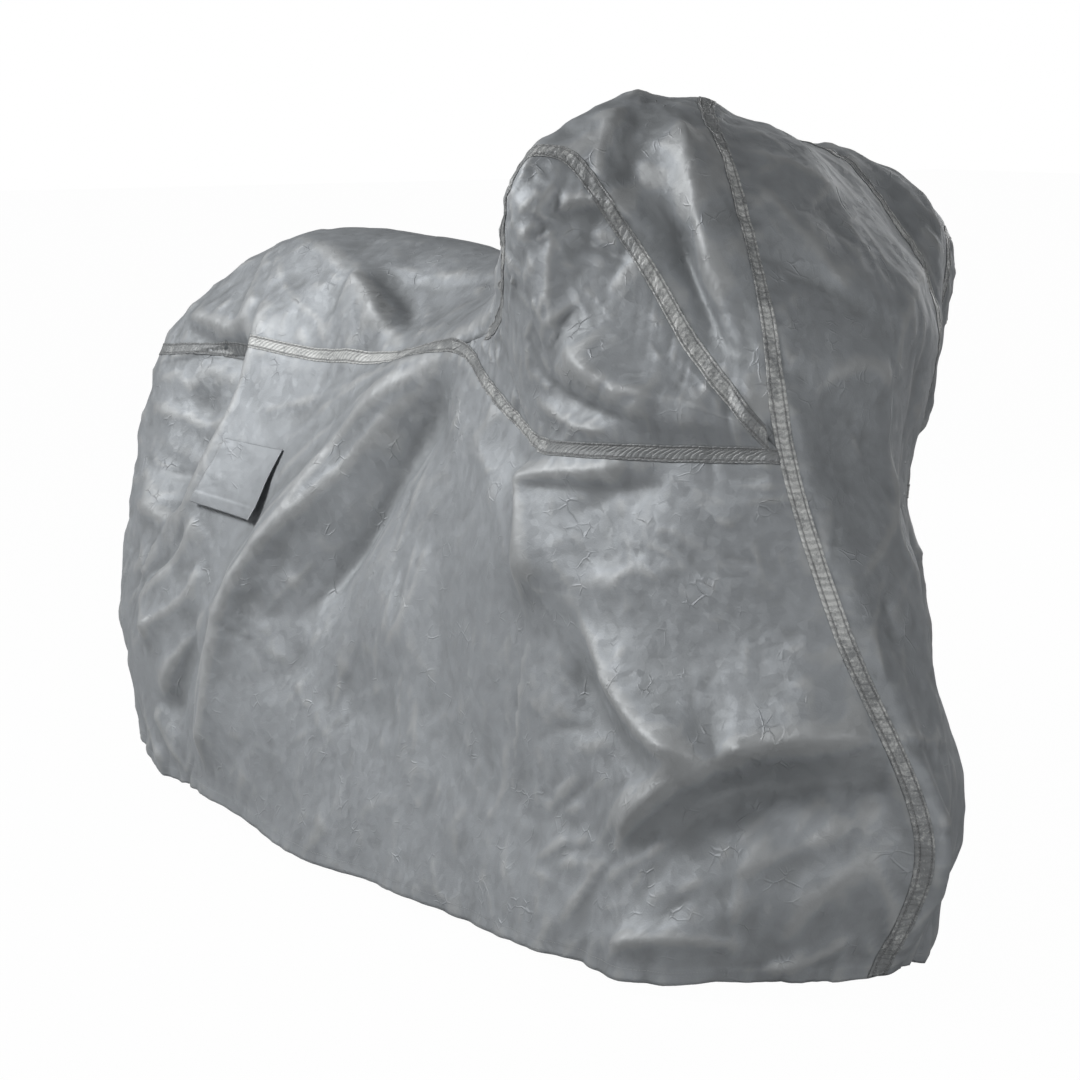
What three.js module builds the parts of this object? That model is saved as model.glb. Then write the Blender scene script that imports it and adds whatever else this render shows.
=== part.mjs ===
// Motorcycle cover, draped: a fitted soft cover of coated polyester, hanging as it does over a
// machine that leans on its side stand. Millimetres, +Z up, +X to the front wheel's end, +Y to the
// left side. The origin is under the middle of the cover, at the height of its lowest hem.
//
// The cover is one closed form cut along its seams. A place on the form is (station, level):
// stations run from the middle of the tail (0) round each side to the middle of the nose (13), and
// levels run from the hem (0) up to the spine of the cover (6).
import * as THREE from 'three';
import { mergeVertices } from 'three/addons/utils/BufferGeometryUtils.js';

const LEAN = THREE.MathUtils.degToRad(10);   // the machine leans this far to its left
const LEAN_FROM = 30;                        // height from which the leaning sides rise and sink
const LEAN_FULL = 700;                       // height over which that grows to its full amount
const CLOTH = 2;                             // thickness of a panel, hem and coating included
const SEAM_GAP = 0.4;                        // between two panels along a seam
const TAPE_WIDTH = 24;                       // seam tape, flat over the seam
const TAPE_THICK = 0.9;
const TAPE_CLEAR = 0.6;                      // between the tape and the panels under it
const FLAP_THICK = 1.5;
const FLAP_LIFT = 4;                         // vent flap above the panel at its sewn top edge
const FLAP_OPEN = 12;                        // and at its open bottom edge
const LOW = 250;                             // height of the level 'low'
const MID = 505;                             // height of the level 'mid'
const ORIGIN = new THREE.Vector3(-79.6, 145.7, 11.8);  // in the frame of the tables below

const RIGHT = -1;
const LEFT = 1;
const TAIL = 0;
const NOSE = 13;
const HEM = 0;
const WAIST = 3;                             // level of the long side seam
const SPINE = 6;
const FORK = 6;                              // station where the bar gusset starts
const FRONT = 11;                            // station of the front seam
const GUSSET_TIP = 0.12;                     // the gusset's blunt points stop this short, in stations
const BESIDE = 0.06;                         // marks the columns at the edges of the front seam's tape

// Stations of the right side, each a section from hem to spine. A place is [at, out, up]: how far
// forward, how far from the machine's middle plane and how high it is, all before the lean. 'low'
// and 'mid' have their heights above, and the spine lies in the middle plane.
const STATIONS = [
  { name: 'tail_middle', hem: [-1005, 0, 85], low: [-1130, 0], mid: [-1200, 0],
    waist: [-1175, 0, 765], shoulder: [-1120, 0, 880], brow: [-1050, 0, 950], spine: [-960, 990] },
  { name: 'tail_turn', hem: [-1005, 130, 85], low: [-1115, 145], mid: [-1180, 155],
    waist: [-1145, 135, 765], shoulder: [-1095, 105, 880], brow: [-1020, 60, 955], spine: [-935, 1000] },
  { name: 'tail_corner', hem: [-970, 225, 90], low: [-1050, 235], mid: [-1090, 245],
    waist: [-1060, 220, 765], shoulder: [-1020, 165, 885], brow: [-945, 95, 975], spine: [-880, 1010] },
  { name: 'tail_side', hem: [-805, 260, 50], low: [-860, 300], mid: [-855, 290],
    waist: [-810, 235, 790], shoulder: [-795, 175, 935], brow: [-780, 105, 1012], spine: [-765, 1035] },
  { name: 'seat_rear', hem: [-540, 300, 45], low: [-535, 320], mid: [-515, 300],
    waist: [-505, 235, 790], shoulder: [-505, 170, 930], brow: [-495, 85, 1007], spine: [-490, 1027] },
  { name: 'seat_middle', hem: [-275, 335, 18], low: [-270, 330], mid: [-265, 300],
    waist: [-260, 240, 800], shoulder: [-255, 170, 925], brow: [-255, 85, 997], spine: [-250, 1012] },
  { name: 'seat_front', hem: [-30, 335, 15], low: [-30, 335], mid: [-30, 315],
    waist: [-30, 280, 830], shoulder: [-75, 180, 950], brow: [-90, 90, 997], spine: [-100, 1005] },
  { name: 'bar_back', hem: [170, 340, 15], low: [165, 345], mid: [155, 345],
    waist: [135, 330, 770], shoulder: [195, 385, 1005], brow: [130, 195, 1095], spine: [55, 1085] },
  { name: 'bar_end', hem: [355, 345, 12], low: [345, 355], mid: [325, 360],
    waist: [295, 350, 705], shoulder: [285, 440, 1085], brow: [240, 240, 1202], spine: [125, 1155] },
  { name: 'bar_front', hem: [540, 360, 18], low: [520, 360], mid: [485, 370],
    waist: [440, 365, 698], shoulder: [365, 395, 1085], brow: [275, 255, 1246], spine: [165, 1195] },
  { name: 'cheek', hem: [745, 335, 20], low: [755, 325], mid: [670, 335],
    waist: [610, 325, 710], shoulder: [495, 290, 1075], brow: [320, 220, 1248], spine: [190, 1218] },
  { name: 'front_seam', hem: [965, 125, 45], low: [1030, 135], mid: [880, 205],
    waist: [765, 250, 730], shoulder: [645, 240, 965], brow: [390, 175, 1228], spine: [215, 1232] },
  { name: 'nose_turn', hem: [950, 60, 50], low: [1005, 80], mid: [890, 110],
    waist: [780, 145, 722], shoulder: [672, 135, 975], brow: [425, 100, 1203], spine: [270, 1242] },
  { name: 'nose_middle', hem: [930, 10, 45], low: [965, 25], mid: [870, 20],
    waist: [755, 30, 705], shoulder: [668, 10, 972], brow: [435, 0, 1192], spine: [318, 1238] },
];

// How the left side differs at its foot (hem and low), waist (mid and waist), shoulder and brow:
// 'back' is how far behind the right side's place, 'wider' is how much further out. 'lower' is how
// far the brow hangs below the right one. The wheel's end points a little to the right.
const LEFT_SIDE = {
  tail_turn: { back: [0, 0, 0, 0], wider: [0, 5, 20, 25], lower: 0 },
  tail_corner: { back: [0, 0, 0, 0], wider: [-10, 10, 25, 30], lower: 0 },
  tail_side: { back: [0, 0, 0, 0], wider: [-10, 15, 30, 30], lower: 0 },
  seat_rear: { back: [0, 0, 0, 0], wider: [-10, 15, 30, 30], lower: 0 },
  seat_middle: { back: [0, 0, 0, 0], wider: [-10, 15, 30, 30], lower: 0 },
  seat_front: { back: [0, 0, 0, 0], wider: [-10, 10, 20, 25], lower: 0 },
  bar_back: { back: [10, 10, 0, 0], wider: [5, 15, 30, 20], lower: 0 },
  bar_end: { back: [20, 20, 0, 15], wider: [0, 15, 20, 15], lower: -5 },
  bar_front: { back: [50, 60, 20, 25], wider: [0, -5, 20, 15], lower: 25 },
  cheek: { back: [155, 160, 80, 45], wider: [-30, -40, 25, 15], lower: 25 },
  front_seam: { back: [235, 205, 135, 65], wider: [0, -65, 15, 5], lower: 20 },
  nose_turn: { back: [105, 125, 60, 40], wider: [-10, -50, -5, -5], lower: 10 },
};

// The upper edge of the bar gusset: the seam leaves the waist at the fork, climbs the back of the
// handlebar's hump, goes over its end and comes down to the front seam.
const GUSSET_TOP = { every: 0.5, levels: [3.0, 3.22, 3.42, 3.78, 4.1, 4.17, 4.12, 3.8, 3.5, 3.3, 3.0] };

// Corners of the vent flap on the right side: sewn along its top, open along its bottom.
const FLAP = { topRear: [3.5, 2.4], topFront: [4.0, 2.4], footRear: [3.42, 2.02], footFront: [3.98, 1.98] };

// Main folds. Each runs from one place over a halfway place to another, rises (or sinks) by 'rise'
// at its crest, and falls away over 'left' and 'right' millimetres, seen along its way from outside.
const FOLDS = [
  { name: 'side ridge', side: RIGHT, from: [5.9, 3.0], half: [4.35, 2.0], to: [3.75, 0.1], rise: 30, left: 45, right: 90 },
  { name: 'side trough', side: RIGHT, from: [6.0, 2.8], half: [5.2, 2.15], to: [4.7, 1.4], rise: -20, left: 60, right: 45 },
  { name: 'tail hollow', side: RIGHT, from: [2.6, 2.8], half: [2.95, 2.3], to: [3.1, 1.9], rise: -30, left: 90, right: 80 },
  { name: 'tail foot hollow', side: RIGHT, from: [3.6, 1.5], half: [3.5, 1.0], to: [3.3, 0.4], rise: -28, left: 45, right: 60 },
  { name: 'tail pleat', side: RIGHT, from: [2.5, 1.75], half: [2.9, 1.45], to: [3.2, 1.1], rise: 14, left: 40, right: 35 },
  { name: 'seat edge', side: RIGHT, from: [3.1, 4.6], half: [4.1, 3.95], to: [4.8, 3.15], rise: 16, left: 45, right: 80 },
  { name: 'seat dip', side: RIGHT, from: [4.3, 4.5], half: [4.9, 3.9], to: [5.3, 3.3], rise: -16, left: 80, right: 50 },
  { name: 'belly ridge', side: RIGHT, from: [8.1, 2.95], half: [8.3, 2.45], to: [8.55, 1.9], rise: 16, left: 55, right: 60 },
  { name: 'belly hollow', side: RIGHT, from: [9.2, 2.85], half: [9.3, 2.5], to: [9.4, 2.1], rise: -12, left: 60, right: 70 },
  { name: 'gusset crest', side: RIGHT, from: [8.9, 3.45], half: [9.7, 3.17], to: [10.6, 3.16], rise: 22, left: 60, right: 35 },
  { name: 'gusset corner', side: RIGHT, from: [8.4, 4.0], half: [8.4, 3.7], to: [8.6, 3.35], rise: 10, left: 45, right: 40 },
  { name: 'lever hollow', side: RIGHT, from: [8.6, 3.9], half: [9.0, 3.88], to: [9.4, 3.85], rise: -16, left: 40, right: 45 },
  { name: 'peak trough', side: RIGHT, from: [9.1, 4.4], half: [9.85, 3.9], to: [10.5, 3.35], rise: -18, left: 45, right: 45 },
  { name: 'peak ridge', side: RIGHT, from: [10.2, 4.7], half: [10.2, 4.05], to: [10.7, 3.5], rise: 14, left: 45, right: 40 },
  { name: 'skirt crest', side: RIGHT, from: [9.5, 0.78], half: [10.1, 1.25], to: [10.95, 1.48], rise: 30, left: 110, right: 40 },
  { name: 'skirt fold', side: RIGHT, from: [9.25, 1.7], half: [9.7, 1.45], to: [10.15, 1.25], rise: 16, left: 70, right: 40 },
  { name: 'skirt turn', side: RIGHT, from: [9.1, 0.12], half: [10.3, 0.5], to: [10.85, 1.1], rise: 16, left: 60, right: 60 },
  { name: 'left ridge', side: LEFT, from: [6.4, 2.9], half: [5.4, 1.8], to: [5.1, 0.2], rise: 24, left: 80, right: 60 },
  { name: 'left trough', side: LEFT, from: [7.4, 2.9], half: [7.2, 1.7], to: [6.6, 0.3], rise: -18, left: 70, right: 80 },
  { name: 'left front ridge', side: LEFT, from: [9.0, 3.4], half: [9.3, 1.9], to: [9.4, 0.3], rise: 20, left: 70, right: 70 },
  { name: 'left crest', side: LEFT, from: [3.0, 2.4], half: [3.9, 1.6], to: [4.2, 0.4], rise: 16, left: 70, right: 60 },
  { name: 'front trough', side: LEFT, from: [12.0, 4.0], half: [12.2, 3.2], to: [12.4, 2.4], rise: -14, left: 45, right: 60 },
];
const CREST_ROUND = 0.3;                     // rounding of a crest, as a share of its spread
const FOLD_STEPS = 12;                       // points along a fold that distances are taken to

// How finely the form is cut into facets.
const STATION_STEPS = [2, 2, 3, 5, 5, 5, 5, 5, 5, 5, 4, 2, 2];
const SIDE_LEVELS = 10;
const TOP_LEVELS = 6;
const GUSSET_LEVELS = 5;
const FLAP_STEPS = 4;
const GUSSET_TAPE_FROM = 6.6;                // the gusset's tape clears the other tapes' edges
const GUSSET_TAPE_TO = 10.75;

const GREY = { color: 0x7d8185, roughness: 0.55, metalness: 0.15 };
const TAPE_GREY = { color: 0xa9acad, roughness: 0.5, metalness: 0.1 };
const FLAP_GREY = { color: 0x858a8e, roughness: 0.55, metalness: 0.15 };

/** Eased step from 0 to 1. */
function ramp(t) {
  const c = THREE.MathUtils.clamp(t, 0, 1);
  return c * c * (3 - 2 * c);
}

/** A section's seven control points on one side, leaned with the machine. */
function section(station, side) {
  const { hem, low, mid, waist, shoulder, brow, spine } = station;
  const upright = [hem, [...low, LOW], [...mid, MID], waist, shoulder, brow, [spine[0], 0, spine[1]]];
  const change = side === LEFT ? LEFT_SIDE[station.name] : undefined;
  return upright.map(([at, out, up], level) => {
    const onSpine = level === SPINE;
    const part = level < WAIST + 1 ? Math.floor(level / 2) : level - 2;
    const back = change && !onSpine ? change.back[part] : 0;
    const wider = change && !onSpine ? change.wider[part] : 0;
    const lower = change && level === SPINE - 1 ? change.lower : 0;
    const y = (change ? LEFT : RIGHT) * (out + wider);
    const z = up - lower;
    const sink = y * Math.sin(LEAN) * ramp((z - LEAN_FROM) / LEAN_FULL);
    return new THREE.Vector3(at - back, y + z * Math.tan(LEAN), z - sink).sub(ORIGIN);
  });
}

/** Both sides' control nets, each with one more row all round so that the form runs on smoothly. */
function buildNets() {
  const plain = {
    [RIGHT]: STATIONS.map((station) => section(station, RIGHT)),
    [LEFT]: STATIONS.map((station) => section(station, LEFT)),
  };
  const nets = {};
  for (const side of [RIGHT, LEFT]) {
    const own = plain[side];
    const other = plain[-side];
    const rows = [other[1], ...own, other[NOSE - 1]];
    const across = [own[1], ...other, own[NOSE - 1]];
    nets[side] = rows.map((row, i) => {
      const below = row[0].clone().multiplyScalar(2).sub(row[1]);
      return [below, ...row, across[i][SPINE - 1]];
    });
  }
  return nets;
}
const NETS = buildNets();

/** The four weights of a curve that passes through its points. */
function weights(t) {
  return [
    -0.5 * t + t * t - 0.5 * t ** 3,
    1 - 2.5 * t * t + 1.5 * t ** 3,
    0.5 * t + 2 * t * t - 1.5 * t ** 3,
    -0.5 * t * t + 0.5 * t ** 3,
  ];
}

/** A place on the smooth form, without folds. */
function formPoint(side, station, level) {
  const i = THREE.MathUtils.clamp(Math.floor(station), TAIL, NOSE - 1);
  const j = THREE.MathUtils.clamp(Math.floor(level), HEM, SPINE - 1);
  const alongWeights = weights(station - i);
  const upWeights = weights(level - j);
  const point = new THREE.Vector3();
  alongWeights.forEach((a, di) => {
    upWeights.forEach((b, dj) => point.addScaledVector(NETS[side][i + di][j + dj], a * b));
  });
  return point;
}

/** The outward direction on one side of the form, taken a little inside its ends. */
function sideNormal(side, station, level) {
  const step = 0.05;
  const inset = 0.2;
  const s = THREE.MathUtils.clamp(station, TAIL + inset, NOSE - inset);
  const l = THREE.MathUtils.clamp(level, HEM + step, SPINE - inset);
  const along = formPoint(side, s + step, l).sub(formPoint(side, s - step, l));
  const up = formPoint(side, s, l + step).sub(formPoint(side, s, l - step));
  return along.cross(up).multiplyScalar(side === RIGHT ? 1 : -1).normalize();
}

/** The outward direction, the same from both sides where they meet. */
function formNormal(side, station, level) {
  const fromMeeting = Math.min(station - TAIL, NOSE - station, SPINE - level);
  const own = 0.5 + 0.5 * ramp(fromMeeting / 0.5);
  const normal = sideNormal(side, station, level).multiplyScalar(own);
  if (own < 1) normal.addScaledVector(sideNormal(-side, station, level), 1 - own);
  return normal.normalize();
}

/** A fold's crest as points, with the direction that lies to its left at each. */
function traceFold(fold) {
  const [u0, v0] = fold.from;
  const [u2, v2] = fold.to;
  const u1 = 2 * fold.half[0] - (u0 + u2) / 2;
  const v1 = 2 * fold.half[1] - (v0 + v2) / 2;
  const crest = [];
  for (let k = 0; k <= FOLD_STEPS; k += 1) {
    const t = k / FOLD_STEPS;
    const u = (1 - t) ** 2 * u0 + 2 * t * (1 - t) * u1 + t * t * u2;
    const v = (1 - t) ** 2 * v0 + 2 * t * (1 - t) * v1 + t * t * v2;
    crest.push({ point: formPoint(fold.side, u, v), normal: formNormal(fold.side, u, v), t });
  }
  crest.forEach((place, k) => {
    const before = crest[Math.max(k - 1, 0)].point;
    const after = crest[Math.min(k + 1, FOLD_STEPS)].point;
    place.toLeft = place.normal.clone().cross(after.clone().sub(before)).normalize();
  });
  return { ...fold, crest };
}
const TRACED = FOLDS.map(traceFold);

/** How far one fold lifts a place of the form. */
function liftByFold(fold, point) {
  let nearest = { distance: Infinity };
  for (let k = 0; k < FOLD_STEPS; k += 1) {
    const a = fold.crest[k];
    const b = fold.crest[k + 1];
    const run = b.point.clone().sub(a.point);
    const offset = point.clone().sub(a.point);
    const share = THREE.MathUtils.clamp(offset.dot(run) / run.lengthSq(), 0, 1);
    const away = offset.addScaledVector(run, -share);
    const distance = away.length();
    if (distance < nearest.distance) {
      nearest = { distance, t: a.t + share / FOLD_STEPS, onLeft: away.dot(a.toLeft) > 0 };
    }
  }
  const spread = nearest.onLeft ? fold.left : fold.right;
  const fall = Math.hypot(nearest.distance / spread, CREST_ROUND) - CREST_ROUND;
  const taper = ramp(nearest.t / 0.25) * ramp((1 - nearest.t) / 0.25);
  return fold.rise * Math.exp(-1.5 * fall) * (0.15 + 0.85 * taper);
}

/** A place on the draped cloth, 'lift' outside its outer face. */
function clothPoint(side, station, level, lift = 0) {
  const point = formPoint(side, station, level);
  const normal = formNormal(side, station, level);
  const facing = (fold) => fold.crest.some((place) => place.normal.dot(normal) > 0);
  const rise = TRACED
    .filter((fold) => facing(fold))
    .reduce((sum, fold) => sum + liftByFold(fold, point), 0);
  return point.addScaledVector(normal, rise + lift);
}

/** The stations at which every piece is cut, so that facets meet along the seams. */
function stationList() {
  const list = [TAIL, FORK + GUSSET_TIP, FRONT - GUSSET_TIP, FRONT - BESIDE, FRONT + BESIDE];
  STATION_STEPS.forEach((steps, i) => {
    for (let k = 1; k <= steps; k += 1) list.push(i + k / steps);
  });
  return list.sort((a, b) => a - b);
}
const ALL_STATIONS = stationList();

/** Evenly spaced values. */
function spaced(from, to, steps) {
  return Array.from({ length: steps + 1 }, (_, k) => from + ((to - from) * k) / steps);
}

/** Level of the gusset's upper seam at a station. */
function gussetTop(station) {
  const { every, levels } = GUSSET_TOP;
  const place = (station - FORK) / every;
  const i = THREE.MathUtils.clamp(Math.floor(place), 0, levels.length - 2);
  const at = (k) => levels[THREE.MathUtils.clamp(k, 0, levels.length - 1)];
  return weights(place - i).reduce((sum, weight, k) => sum + weight * at(i + k - 1), 0);
}

/** Direction and length of one unit of station or level at a place. */
function unitRun(side, station, level, du, dv) {
  const a = formPoint(side, station - du / 2, level - dv / 2);
  const b = formPoint(side, station + du / 2, level + dv / 2);
  return b.sub(a).divideScalar(Math.hypot(du, dv));
}

/** A level moved by some millimetres along the form. */
function shiftLevel(side, station, level, distance) {
  return level + distance / unitRun(side, station, level, 0, 0.2).length();
}

/** A station moved by some millimetres along the form. */
function shiftStation(side, station, level, distance) {
  return station + distance / unitRun(side, station, level, 0.2, 0).length();
}

/** A level on the gusset's upper seam, moved by some millimetres square to that seam. */
function shiftFromGussetTop(side, station, distance) {
  const level = gussetTop(station);
  const reach = 0.1;
  const before = Math.max(station - reach, FORK);
  const after = Math.min(station + reach, FRONT);
  const along = formPoint(side, after, gussetTop(after)).sub(formPoint(side, before, gussetTop(before)));
  const up = unitRun(side, station, level, 0, 0.2);
  const slant = Math.max(along.normalize().cross(up.clone().normalize()).length(), 0.4);
  return level + distance / (up.length() * slant);
}

/** A level on the top panel's lower edge, moved by some millimetres into the panel. */
function shiftFromTopEdge(side, station, distance) {
  const slanting = station > FORK && station < FRONT - BESIDE;
  return slanting ? shiftFromGussetTop(side, station, distance) : shiftLevel(side, station, WAIST, distance);
}

/**
 * Closes a grid of places into one thin sheet. outer and inner are rows of points. A row named in
 * 'doubled' is folded on itself along the middle plane, so both its halves are the same edge.
 */
function sheet(outer, inner, doubled = []) {
  const rows = outer.length;
  const columns = outer[0].length;
  const positions = [];
  for (const face of [outer, inner]) {
    for (const row of face) row.forEach((p) => positions.push(p.x, p.y, p.z));
  }
  const id = (face, i, j) => face * rows * columns + i * columns + j;
  const index = [];
  const quad = (a, b, c, d) => index.push(a, b, c, a, c, d);
  for (let i = 0; i < rows - 1; i += 1) {
    for (let j = 0; j < columns - 1; j += 1) {
      quad(id(0, i, j), id(0, i + 1, j), id(0, i + 1, j + 1), id(0, i, j + 1));
      quad(id(1, i, j), id(1, i, j + 1), id(1, i + 1, j + 1), id(1, i + 1, j));
    }
  }
  for (let j = 0; j < columns - 1; j += 1) {
    const last = rows - 1;
    if (!doubled.includes('first')) quad(id(0, 0, j), id(0, 0, j + 1), id(1, 0, j + 1), id(1, 0, j));
    if (!doubled.includes('last')) quad(id(0, last, j + 1), id(0, last, j), id(1, last, j), id(1, last, j + 1));
  }
  for (let i = 0; i < rows - 1; i += 1) {
    quad(id(0, i + 1, 0), id(0, i, 0), id(1, i, 0), id(1, i + 1, 0));
    quad(id(0, i, columns - 1), id(0, i + 1, columns - 1), id(1, i + 1, columns - 1), id(1, i, columns - 1));
  }
  return weld(positions, index);
}

/** Merges equal points and drops the facets that collapse. */
function weld(positions, index) {
  const geometry = new THREE.BufferGeometry();
  geometry.setAttribute('position', new THREE.Float32BufferAttribute(positions, 3));
  geometry.setIndex(index);
  const merged = mergeVertices(geometry, 1e-3);
  const corners = merged.index.array;
  const kept = [];
  for (let k = 0; k < corners.length; k += 3) {
    const facet = [corners[k], corners[k + 1], corners[k + 2]];
    if (new Set(facet).size === 3) kept.push(...facet);
  }
  merged.setIndex(kept);
  return merged;
}

/** A named mesh. */
function piece(name, geometry, finish) {
  const mesh = new THREE.Mesh(geometry, new THREE.MeshStandardMaterial(finish));
  mesh.name = name;
  return mesh;
}

/** Outer and inner points of a grid of places, each { side, station, level }. */
function clothFaces(places, lift = 0, thick = CLOTH) {
  const at = (depth) => places.map((row) => row.map((p) => clothPoint(p.side, p.station, p.level, depth)));
  return [at(lift), at(lift - thick)];
}

/** Turns a grid of places over, for the side on which it would face inwards. */
function facingOut(places, side) {
  return side === RIGHT ? places : places.map((row) => [...row].reverse());
}

/**
 * Where a column really runs at one level. The columns next to the front seam are spread so that
 * the nearest on each side follows the edge of that seam's tape, also where stations crowd.
 */
function columnAt(side, station, level) {
  if (Math.abs(station - FRONT) >= 1 || station === FRONT) return station;
  const asked = Math.min(level, SPINE - 0.2);
  const hand = Math.sign(station - FRONT);
  const edge = shiftStation(side, FRONT, asked, (hand * TAPE_WIDTH) / 2);
  const share = (1 - Math.abs(station - FRONT)) / (1 - BESIDE);
  return THREE.MathUtils.lerp(FRONT + hand, edge, share);
}

/** Lower side panel: hem to waist, middle of the tail to the front seam. */
function sidePanel(name, side) {
  const places = ALL_STATIONS.filter((u) => u <= FRONT).map((u) => {
    const levels = [...spaced(HEM, shiftLevel(side, u, WAIST, -TAPE_WIDTH / 2), SIDE_LEVELS),
      shiftLevel(side, u, WAIST, -SEAM_GAP / 2)];
    return levels.map((level) => {
      let station = columnAt(side, u, level);
      if (u === TAIL) station = shiftStation(side, 0.1, level, SEAM_GAP / 2) - 0.1;
      if (u === FRONT) station = shiftStation(side, u, level, -SEAM_GAP / 2);
      return { side, station, level };
    });
  });
  return piece(name, sheet(...clothFaces(facingOut(places, side))), GREY);
}

/** Bar gusset: the pocket over one end of the handlebar, pointed at both ends. */
function barGusset(name, side) {
  const places = ALL_STATIONS.filter((u) => u > FORK && u < FRONT - BESIDE).map((u) => {
    const low = shiftLevel(side, u, WAIST, SEAM_GAP / 2);
    const high = shiftFromGussetTop(side, u, -SEAM_GAP / 2);
    const taped = u >= GUSSET_TAPE_FROM && u <= GUSSET_TAPE_TO;
    const lowTape = shiftLevel(side, u, WAIST, TAPE_WIDTH / 2);
    const highTape = shiftFromGussetTop(side, u, -TAPE_WIDTH / 2);
    const levels = taped ? [low, ...spaced(lowTape, highTape, GUSSET_LEVELS), high]
      : spaced(low, high, GUSSET_LEVELS + 2);
    return levels.map((level) => ({ side, station: columnAt(side, u, level), level }));
  });
  return piece(name, sheet(...clothFaces(facingOut(places, side))), GREY);
}

/** Top panel: one piece over tail, seat and handlebar, between the two long seams. */
function topPanel(name) {
  const places = ALL_STATIONS.filter((u) => u <= FRONT).map((u) => {
    const half = (side) => {
      const levels = [shiftFromTopEdge(side, u, SEAM_GAP / 2),
        ...spaced(shiftFromTopEdge(side, u, TAPE_WIDTH / 2), SPINE, TOP_LEVELS)];
      return levels.map((level) => {
        const asked = Math.min(level, SPINE - 0.2);
        const station = u === FRONT ? shiftStation(side, u, asked, -SEAM_GAP / 2) : columnAt(side, u, level);
        return { side, station, level };
      });
    };
    return [...half(RIGHT), ...half(LEFT).reverse().slice(1)];
  });
  return piece(name, sheet(...clothFaces(places), ['first']), GREY);
}

/** Levels along the front seam of one side, from the hem to the spine. */
function frontLevels(side) {
  return [
    ...spaced(HEM, shiftLevel(side, FRONT, WAIST, -TAPE_WIDTH / 2), SIDE_LEVELS),
    WAIST,
    ...spaced(shiftLevel(side, FRONT, WAIST, TAPE_WIDTH / 2), SPINE, TOP_LEVELS),
  ];
}

/** Front panel: between the front seams of both sides, from the hem up to its arched top. */
function frontPanel(name) {
  const places = ALL_STATIONS.filter((u) => u >= FRONT).map((u) => {
    const half = (side) => frontLevels(u === NOSE ? RIGHT : side).map((level) => {
      const asked = Math.min(level, SPINE - 0.2);
      const station = u === FRONT ? shiftStation(side, u, asked, SEAM_GAP / 2) : columnAt(side, u, level);
      return { side, station, level };
    });
    return [...half(RIGHT), ...half(LEFT).reverse().slice(1)];
  });
  return piece(name, sheet(...clothFaces(places), ['last']), GREY);
}

/** A tape from its grid of places, lying just outside the panels. */
function tape(name, places) {
  const faces = clothFaces(places, TAPE_CLEAR + TAPE_THICK, TAPE_THICK);
  return piece(name, sheet(...faces), TAPE_GREY);
}

/** Tape over the waist seam of one side, from the middle of the tail to the front seam's tape. */
function waistTape(name, side) {
  const places = ALL_STATIONS.filter((u) => u < FRONT).map((u) => {
    const levels = [-TAPE_WIDTH / 2, 0, TAPE_WIDTH / 2].map((d) => shiftLevel(side, u, WAIST, d));
    return levels.map((level) => {
      let station = columnAt(side, u, level);
      if (u === TAIL) station = shiftStation(side, 0.1, level, SEAM_GAP / 2) - 0.1;
      if (u === FRONT - BESIDE) station = shiftStation(side, FRONT, level, -TAPE_WIDTH / 2 - TAPE_CLEAR);
      return { side, station, level };
    });
  });
  return tape(name, facingOut(places, side));
}

/** Tape over the upper seam of one gusset. */
function gussetTape(name, side) {
  const taped = ALL_STATIONS.filter((u) => u >= GUSSET_TAPE_FROM && u <= GUSSET_TAPE_TO);
  const places = taped.map((u) => [-TAPE_WIDTH / 2, 0, TAPE_WIDTH / 2].map((distance) => {
    const level = shiftFromGussetTop(side, u, distance);
    return { side, station: columnAt(side, u, level), level };
  }));
  return tape(name, facingOut(places, side));
}

/** Tape over the front seam, from the right hem over the top to the left hem. */
function frontTape(name) {
  const places = [-TAPE_WIDTH / 2, 0, TAPE_WIDTH / 2].map((distance) => {
    const half = (side) => frontLevels(side).map((level) => {
      const asked = Math.min(level, SPINE - 0.2);
      return { side, station: shiftStation(side, FRONT, asked, distance), level };
    });
    return [...half(RIGHT), ...half(LEFT).reverse().slice(1)];
  });
  return tape(name, places);
}

/** The vent flap, standing off the panel more and more towards its open foot. */
function ventFlap(name) {
  const corner = (a, b, t) => [THREE.MathUtils.lerp(a[0], b[0], t), THREE.MathUtils.lerp(a[1], b[1], t)];
  const face = (inward) => spaced(0, 1, FLAP_STEPS).map((across) => {
    const top = corner(FLAP.topRear, FLAP.topFront, across);
    const foot = corner(FLAP.footRear, FLAP.footFront, across);
    return spaced(0, 1, FLAP_STEPS).map((up) => {
      const [station, level] = corner(foot, top, up);
      const lift = THREE.MathUtils.lerp(FLAP_OPEN, FLAP_LIFT, ramp(up));
      return clothPoint(RIGHT, station, level, lift - inward);
    });
  });
  return piece(name, sheet(face(0), face(FLAP_THICK)), FLAP_GREY);
}

const cover = new THREE.Group();
cover.add(
  sidePanel('side_panel_right', RIGHT),
  sidePanel('side_panel_left', LEFT),
  barGusset('bar_gusset_right', RIGHT),
  barGusset('bar_gusset_left', LEFT),
  topPanel('top_panel'),
  frontPanel('front_panel'),
  waistTape('waist_tape_right', RIGHT),
  waistTape('waist_tape_left', LEFT),
  gussetTape('gusset_tape_right', RIGHT),
  gussetTape('gusset_tape_left', LEFT),
  frontTape('front_tape'),
  ventFlap('vent_flap'),
);

export default cover;
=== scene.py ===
"""Fitted motorcycle cover, dressed: the looks of the coated cloth, its folds, seams, flap and hem.

The cover is one closed form cut along its seams. A place on the form is (station, level): stations
run from the middle of the tail (0) round each side to the middle of the nose (13), and levels run
from the hem (0) up to the spine (6). Tables are in millimetres, meshes in metres.
"""
import logging
import math
from dataclasses import dataclass
from enum import IntEnum

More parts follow.
